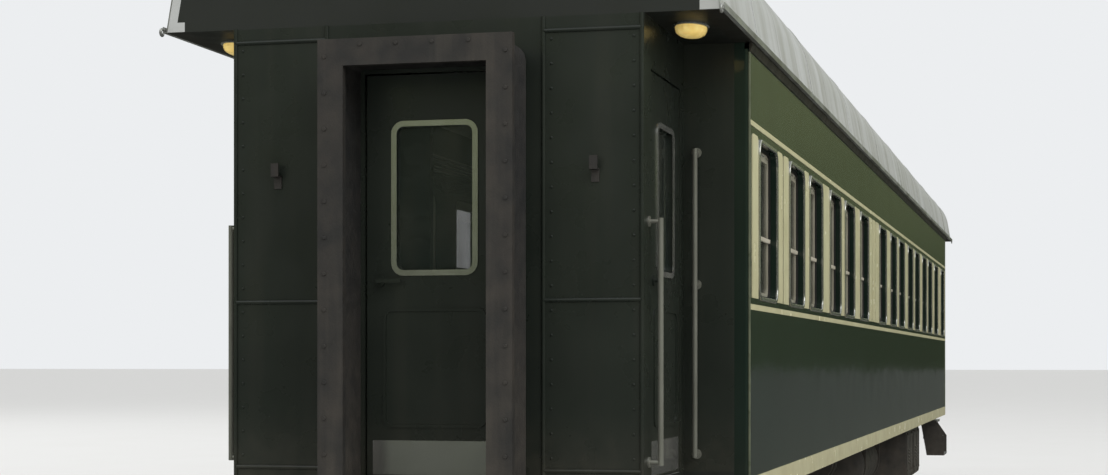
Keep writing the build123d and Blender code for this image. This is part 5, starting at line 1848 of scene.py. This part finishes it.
@dataclass
class Underfloor(Assembly):
    """Doors of the battery boxes, ends of the tanks and rivets of the sole bars."""

    box_x: float = 4.05
    box_face: float = 1.315
    box_length: float = 1.9
    box_height: float = 0.54
    vent_pitch: float = 0.035
    vent_rows: int = 5
    vent_columns: Flat = (-0.12, 0.12)
    vent_start: float = 0.16
    half_vent: float = 0.07
    vent_outline: Outline = ((0.0, 0.0), (-0.012, 0.004), (-0.013, 0.008), (0.0, 0.024))
    lid_thickness: float = 0.006
    lid_margins: Size = (0.02, 0.03, 0.05)
    strip_y: Flat = (-0.012, -0.005)
    strip_width: float = 0.03
    rail_margins: Size = (0.01, 0.05, 0.09)
    upright_x: Flat = (0.02, 0.05)
    upright_z: Flat = (0.06, 0.07)
    hinges_x: Flat = (-0.3, 0.3)
    half_hinge: float = 0.05
    hinge_radius: float = 0.011
    hinge_y: float = -0.008
    hinge_drop: float = 0.045
    half_latch: float = 0.03
    latch_y: float = -0.014
    latch_z: Flat = (0.02, 0.1)
    rivet_start: float = -8.55
    rivet_pitch: float = 0.15
    rivets: int = 115
    rivet_size: Flat = (0.009, 0.006)
    rivet_height: float = 1.018
    tank_x: float = 2.05
    half_tank: float = 0.85
    tank_y: float = 0.76
    tank_drop: float = 0.297
    dish: Outline = (
        (0.284, -0.02), (0.288, -0.004), (0.284, 0.006), (0.27, 0.02), (0.2, 0.05),
        (0.1, 0.066), (0.02, 0.07),
    )

    def build(self) -> None:
        """Build the fittings below the floor."""
        self.box_doors()
        self.sole_rivets()
        self.tank_ends()

    def lid(self, bottom: float) -> Form:
        """Draw one framed lid with its hinges and latches.

        Args:
            bottom: Height of the box's bottom.

        Returns:
            The form, facing -Y.
        """
        form = Form()
        side, low, high = self.lid_margins
        top, half = bottom + self.box_height, self.box_length / 4 - side
        form.block((-half, -self.lid_thickness, bottom + low), (half, 0.0, top - high))
        (outer, inner), strip = self.strip_y, self.strip_width
        side, low, high = self.rail_margins
        for z in (bottom + low, top - high):
            form.block((-half + side, outer, z), (half - side, inner, z + strip))
        low, high = self.upright_z
        for x in (-half + self.upright_x[0], 0.0, half - self.upright_x[1]):
            form.block((x, outer, bottom + low), (x + strip, inner, top - high))
        low, high = self.latch_z
        for x in self.hinges_x:
            pin = [(x + way * self.half_hinge, self.hinge_y, top - self.hinge_drop) for way in BOTH]
            form.tube(pin, self.hinge_radius, THIN_SIDES)
            near, far = x - self.half_latch, x + self.half_latch
            form.block((near, self.latch_y, bottom + low), (far, inner, bottom + high))
        return form

    def box_doors(self) -> None:
        """Fit two lids with vent slots to each battery box."""
        vent = Form()
        vent.prism(self.vent_outline, Axis.X, -self.half_vent, self.half_vent)
        bottom = self.layout.frame_bottom - self.box_height
        lids, vents = [], []
        for side, half in CORNERS:
            middle = -side * self.box_x + half * self.box_length / 4
            lids.append(Place((middle, side * self.box_face, 0), outward(side)))
            for column, row in product(self.vent_columns, range(self.vent_rows)):
                z = bottom + self.vent_start + row * self.vent_pitch
                at = (middle + column, side * (self.box_face + self.lid_thickness), z)
                vents.append(Place(at, outward(side)))
        self.shop.repeat("battery_lids", self.lid(bottom), lids, "frame_paint")
        self.shop.repeat("battery_vents", vent, vents, "frame_paint")

    def sole_rivets(self) -> None:
        """Set a row of rivets along the sole bar of each side."""
        places = []
        for side, step in product(BOTH, range(self.rivets)):
            x = self.rivet_start + step * self.rivet_pitch
            places.append(Place((x, side * self.layout.wall_inner, self.rivet_height), on_side(side)))
        self.shop.repeat("sole_rivets", rivet(*self.rivet_size), places, "frame_paint")

    def tank_ends(self) -> None:
        """Dish the ends of the water tanks."""
        height = self.layout.frame_bottom - self.tank_drop
        places = [
            Place((-side * self.tank_x + end * self.half_tank, side * self.tank_y, height), on_end(end))
            for side, end in CORNERS
        ]
        self.shop.repeat("tank_ends", turned(self.dish, sides=40), places, "frame_paint")


@dataclass
class Saloon(Assembly):
    """Cushions and racks inside the coach."""

    length: float = 0.98
    channels: int = 4
    rows: int = 14
    columns: int = 24
    corner_pull: float = 0.012
    side_gap: float = 0.02
    pull_powers: tuple[int, int] = (3, 8)
    crown_powers: tuple[int, int] = (6, 8)
    seam: Size = (0.55, 0.45, 1.8)
    waist: Size = (1.012, 1.006, 0.55)
    foot: Size = (0.985, 0.992, 0.002)
    seat_size: Size = (0.50, 0.118, 0.035)
    back_size: Size = (0.70, 0.105, 0.03)
    seat_y: float = 0.82
    seat_at: Flat = (0.28, 1.4715)
    back_at: Flat = (0.0205, 1.9465)
    rods: int = 5
    rod_pitch: float = 0.075
    rod_start: float = 0.03
    rod_radius: float = 0.008
    half_rack: float = 8.5
    rack_at: Flat = (1.32, 3.1)
    bracket_at: Flat = (1.329, 3.091)
    half_bracket: float = 0.008
    bracket_outline: Outline = (
        (0.0, -0.13), (0.0, 0.0), (-0.36, 0.0), (-0.36, -0.012), (-0.03, -0.05), (-0.012, -0.13),
    )

    def build(self) -> None:
        """Build the inside of the coach."""
        self.cushions()
        self.racks()

    def cushion(self, depth: float, thick: float, crown: float) -> Form:
        """Draw a crowned cushion with sewn channels, lying on the origin's plane.

        Args:
            depth: Size along X.
            thick: Height of its crown.
            crown: How far its middle rises above the edge.

        Returns:
            The form.
        """
        width = self.length - self.side_gap
        (corner, edge), (long, wide) = self.pull_powers, self.crown_powers
        low, swell, steep = self.seam
        points: list[Point] = []
        for row, column in product(range(self.rows + 1), range(self.columns + 1)):
            u, v = row / self.rows * 2 - 1, column / self.columns * 2 - 1
            pull = self.corner_pull * (1 - abs(u * v) ** corner)
            x = u * (depth / 2 - pull * abs(u) ** edge)
            y = v * (width / 2 - pull * abs(v) ** edge)
            sewn = abs(math.sin(math.pi * self.channels * (column / self.columns)))
            rise = crown * ((1 - u**long) * (1 - v**wide)) * (low + swell * min(1.0, sewn * steep))
            points.append((x, y, thick - crown + rise))
        stride = self.columns + 1
        faces = []
        for row, column in product(range(self.rows), range(self.columns)):
            start = row * stride + column
            faces.append((start, start + 1, start + stride + 1, start + stride))
        rim = (list(range(self.columns))
               + [row * stride + self.columns for row in range(self.rows)]
               + [self.rows * stride + column for column in range(self.columns, 0, -1)]
               + [row * stride for row in range(self.rows, 0, -1)])
        count, size = len(points), len(rim)
        x, y, z = self.waist
        waist = [(points[i][0] * x, points[i][1] * y, (thick - crown) * z) for i in rim]
        x, y, z = self.foot
        foot = [(points[i][0] * x, points[i][1] * y, z) for i in rim]
        for place in range(size):
            after = (place + 1) % size
            faces.append((rim[place], rim[after], count + after, count + place))
            faces.append((count + place, count + after, count + size + after, count + size + place))
        faces.append(tuple(range(count + size, count + 2 * size)))
        form = Form()
        form.add(points + waist + foot, faces)
        return form

    def cushions(self) -> None:
        """Lay a cushion on every seat and stand one against every back."""
        spans = self.layout.pillar_spans()
        (seat_x, seat_z), (back_x, back_z) = self.seat_at, self.back_at
        seats, backs = [], []
        for pillar, side, facing in product(self.layout.seat_pillars, BOTH, BOTH):
            middle, y = (spans[pillar][0] + spans[pillar][1]) / 2, side * self.seat_y
            seats.append(Place((middle + facing * seat_x, y, seat_z)))
            backs.append(Place((middle + facing * back_x, y, back_z), on_end(facing)))
        seat, back = self.cushion(*self.seat_size), self.cushion(*self.back_size)
        made = self.shop.repeat("seat_pads", seat, seats, "seat_hide", replaces=("seat_cushions",))
        made = self.shop.repeat("back_pads", back, backs, "seat_hide")

    def racks(self) -> None:
        """Run a luggage rack of rods on brackets along both sides."""
        rods, bracket = Form(), Form()
        for rod in range(self.rods):
            y = self.rod_start + rod * self.rod_pitch
            rods.tube([(-self.half_rack, -y, 0.0), (self.half_rack, -y, 0.0)], self.rod_radius, sides=8)
        bracket.prism(self.bracket_outline, Axis.X, -self.half_bracket, self.half_bracket)
        (rack_y, rack_z), (bracket_y, bracket_z) = self.rack_at, self.bracket_at
        racks = [Place((0, side * rack_y, rack_z), outward(-side)) for side in BOTH]
        brackets = [
            Place(((a + b) / 2, side * bracket_y, bracket_z), outward(-side))
            for side in BOTH
            for a, b in self.layout.pillar_spans()
        ]
        self.shop.repeat("luggage_rods", rods, racks, "bright_trim")
        self.shop.repeat("rack_brackets", bracket, brackets, "bright_trim")


class Lamp(NamedTuple):
    """One soft lamp of the studio."""

    name: str
    at: Point
    turn: Point
    power: float
    size: float


@dataclass
class Studio:
    """Camera, floor, sky and lamps."""

    eye: Point = (-19.16, -3.038, 1.754)
    yaw: float = 14.32
    lens: float = 65.55
    sensor: float = 36
    shift: float = 0.1115
    farthest: float = 900
    pale: Color = (236, 238, 240)
    floor_reach: float = 390
    floor_colours: tuple[Color, Color] = ((232, 232, 231), (228, 228, 226))
    floor_mirrored: Color = (54, 57, 49)
    floor_roughness: float = 0.9
    floor_scale: float = 0.6
    sky_bands: tuple[tuple[float, Point], ...] = (
        (0.02, (0.035, 0.045, 0.025)), (0.16, (0.20, 0.23, 0.11)), (0.5, (0.75, 0.78, 0.8)),
    )
    sky_light: float = 0.85
    leaf_scale: float = 9
    leaf_detail: float = 5
    leaf_light: Flat = (0.55, 1.35)
    lights: tuple[Lamp, ...] = (
        Lamp("key", (-26, -30, 30), (0.78, 0, -0.7), 7000, 26),
        Lamp("fill", (16, 34, 30), (-0.8, 0, -0.4), 3400, 30),
    )

    def build(self) -> None:
        """Set up the view and its light."""
        self.camera()
        self.floor()
        self.sky()
        self.lamps()
        bpy.context.scene.view_settings.view_transform = "Standard"

    def camera(self) -> None:
        """Place the level camera."""
        data = bpy.data.cameras.new("camera")
        data.lens = self.lens
        data.sensor_width = self.sensor
        data.shift_y = self.shift
        data.clip_end = self.farthest
        item = bpy.data.objects.new("camera", data)
        bpy.context.scene.collection.objects.link(item)
        turn = math.radians(self.yaw)
        ahead = Vector((math.cos(turn), math.sin(turn), 0))
        item.location = self.eye
        item.rotation_mode = "QUATERNION"
        item.rotation_quaternion = ahead.to_track_quat("-Z", "Y")
        bpy.context.scene.camera = item

    def floor(self) -> None:
        """Lay a pale floor that shows the coach's shadow and looks dark in reflections."""
        form = Form()
        form.add([(x * self.floor_reach, y * self.floor_reach, 0)
                  for x, y in ((-1, -1), (1, -1), (1, 1), (-1, 1))], [(0, 1, 2, 3)])
        item = bpy.data.objects.new("floor_plane", form.mesh("floor_plane"))
        bpy.context.scene.collection.objects.link(item)
        graph = MaterialGraph("studio_floor")
        mottle = graph.noise(self.floor_scale)
        pale = graph.blend(mottle, *(linear(colour) for colour in self.floor_colours))
        mirrored = graph.node("ShaderNodeLightPath").outputs["Is Glossy Ray"]
        colour = graph.blend(mirrored, pale, linear(self.floor_mirrored))
        graph.feed(graph.shader, {"Base Color": colour, "Roughness": self.floor_roughness})
        item.data.materials.append(graph.material)

    def sky(self) -> None:
        """Light softly from all round, pale to the camera and leafy green in reflections."""
        world = bpy.data.worlds.new("studio")
        world.use_nodes = True
        graph = Graph(world.node_tree)
        even = {"Color": (1, 1, 1, 1), "Strength": self.sky_light}
        light = graph.node("ShaderNodeBackground", even)
        seen = graph.node("ShaderNodeBackground", {"Color": (*linear(self.pale), 1), "Strength": 1.0})
        place = graph.node("ShaderNodeTexCoord").outputs["Generated"]
        parts = graph.node("ShaderNodeSeparateXYZ", {0: place})
        ramp = graph.node("ShaderNodeValToRGB", {0: parts.outputs["Z"]})
        (low, ground), (middle, leafy), (high, open_sky) = self.sky_bands
        stops = ramp.color_ramp.elements
        stops[0].position, stops[0].color = low, (*ground, 1)
        stops[1].position, stops[1].color = high, (*open_sky, 1)
        stops.new(middle).color = (*leafy, 1)
        leaves = graph.node("ShaderNodeTexNoise", {
            "Scale": self.leaf_scale, "Detail": self.leaf_detail, "Vector": place,
        })
        spread = graph.node("ShaderNodeMapRange", {
            "Value": leaves.outputs[0], "From Min": NOISE_MOST[0], "From Max": NOISE_MOST[1],
            "To Min": self.leaf_light[0], "To Max": self.leaf_light[1],
        })
        mirror = graph.node("ShaderNodeBackground", {
            "Color": ramp.outputs[0], "Strength": spread.outputs[0],
        })
        path = graph.node("ShaderNodeLightPath").outputs
        gloss = graph.node("ShaderNodeMixShader", {
            0: path["Is Glossy Ray"], 1: light.outputs[0], 2: mirror.outputs[0],
        })
        most = graph.node("ShaderNodeMath", {
            0: path["Is Camera Ray"], 1: path["Is Transmission Ray"],
        }, operation="MAXIMUM")
        final = graph.node("ShaderNodeMixShader", {
            0: most.outputs[0], 1: gloss.outputs[0], 2: seen.outputs[0],
        })
        graph.node("ShaderNodeOutputWorld", {"Surface": final.outputs[0]})
        bpy.context.scene.world = world

    def lamps(self) -> None:
        """Hang a large soft lamp over the near side and a weaker one over the far side."""
        for lamp in self.lights:
            data = bpy.data.lights.new(lamp.name, "AREA")
            data.energy = lamp.power
            data.size = lamp.size
            item = bpy.data.objects.new(lamp.name, data)
            item.location = lamp.at
            item.rotation_euler = Euler(lamp.turn)
            bpy.context.scene.collection.objects.link(item)


def main() -> None:
    """Build the coach's fittings in order, then the studio round it."""
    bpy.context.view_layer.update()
    palette = Palette()
    palette.dress_nodes()
    shop = Workshop(palette)
    layout = Layout()
    for assembly in (
        Bodyside(shop, layout),
        RoofTrim(shop, layout),
        DoorDressing(shop, layout),
        Entrance(shop, layout),
        EndWalls(shop, layout),
        Gangway(shop, layout),
        BogieDressing(shop, layout, "front", layout.bogie_x),
        BogieDressing(shop, layout, "rear", -layout.bogie_x),
        Underfloor(shop, layout),
        Saloon(shop, layout),
        Studio(),
    ):
        assembly.build()
        LOG.info("%s is built", type(assembly).__name__)


if __name__ == "__main__":
    main()
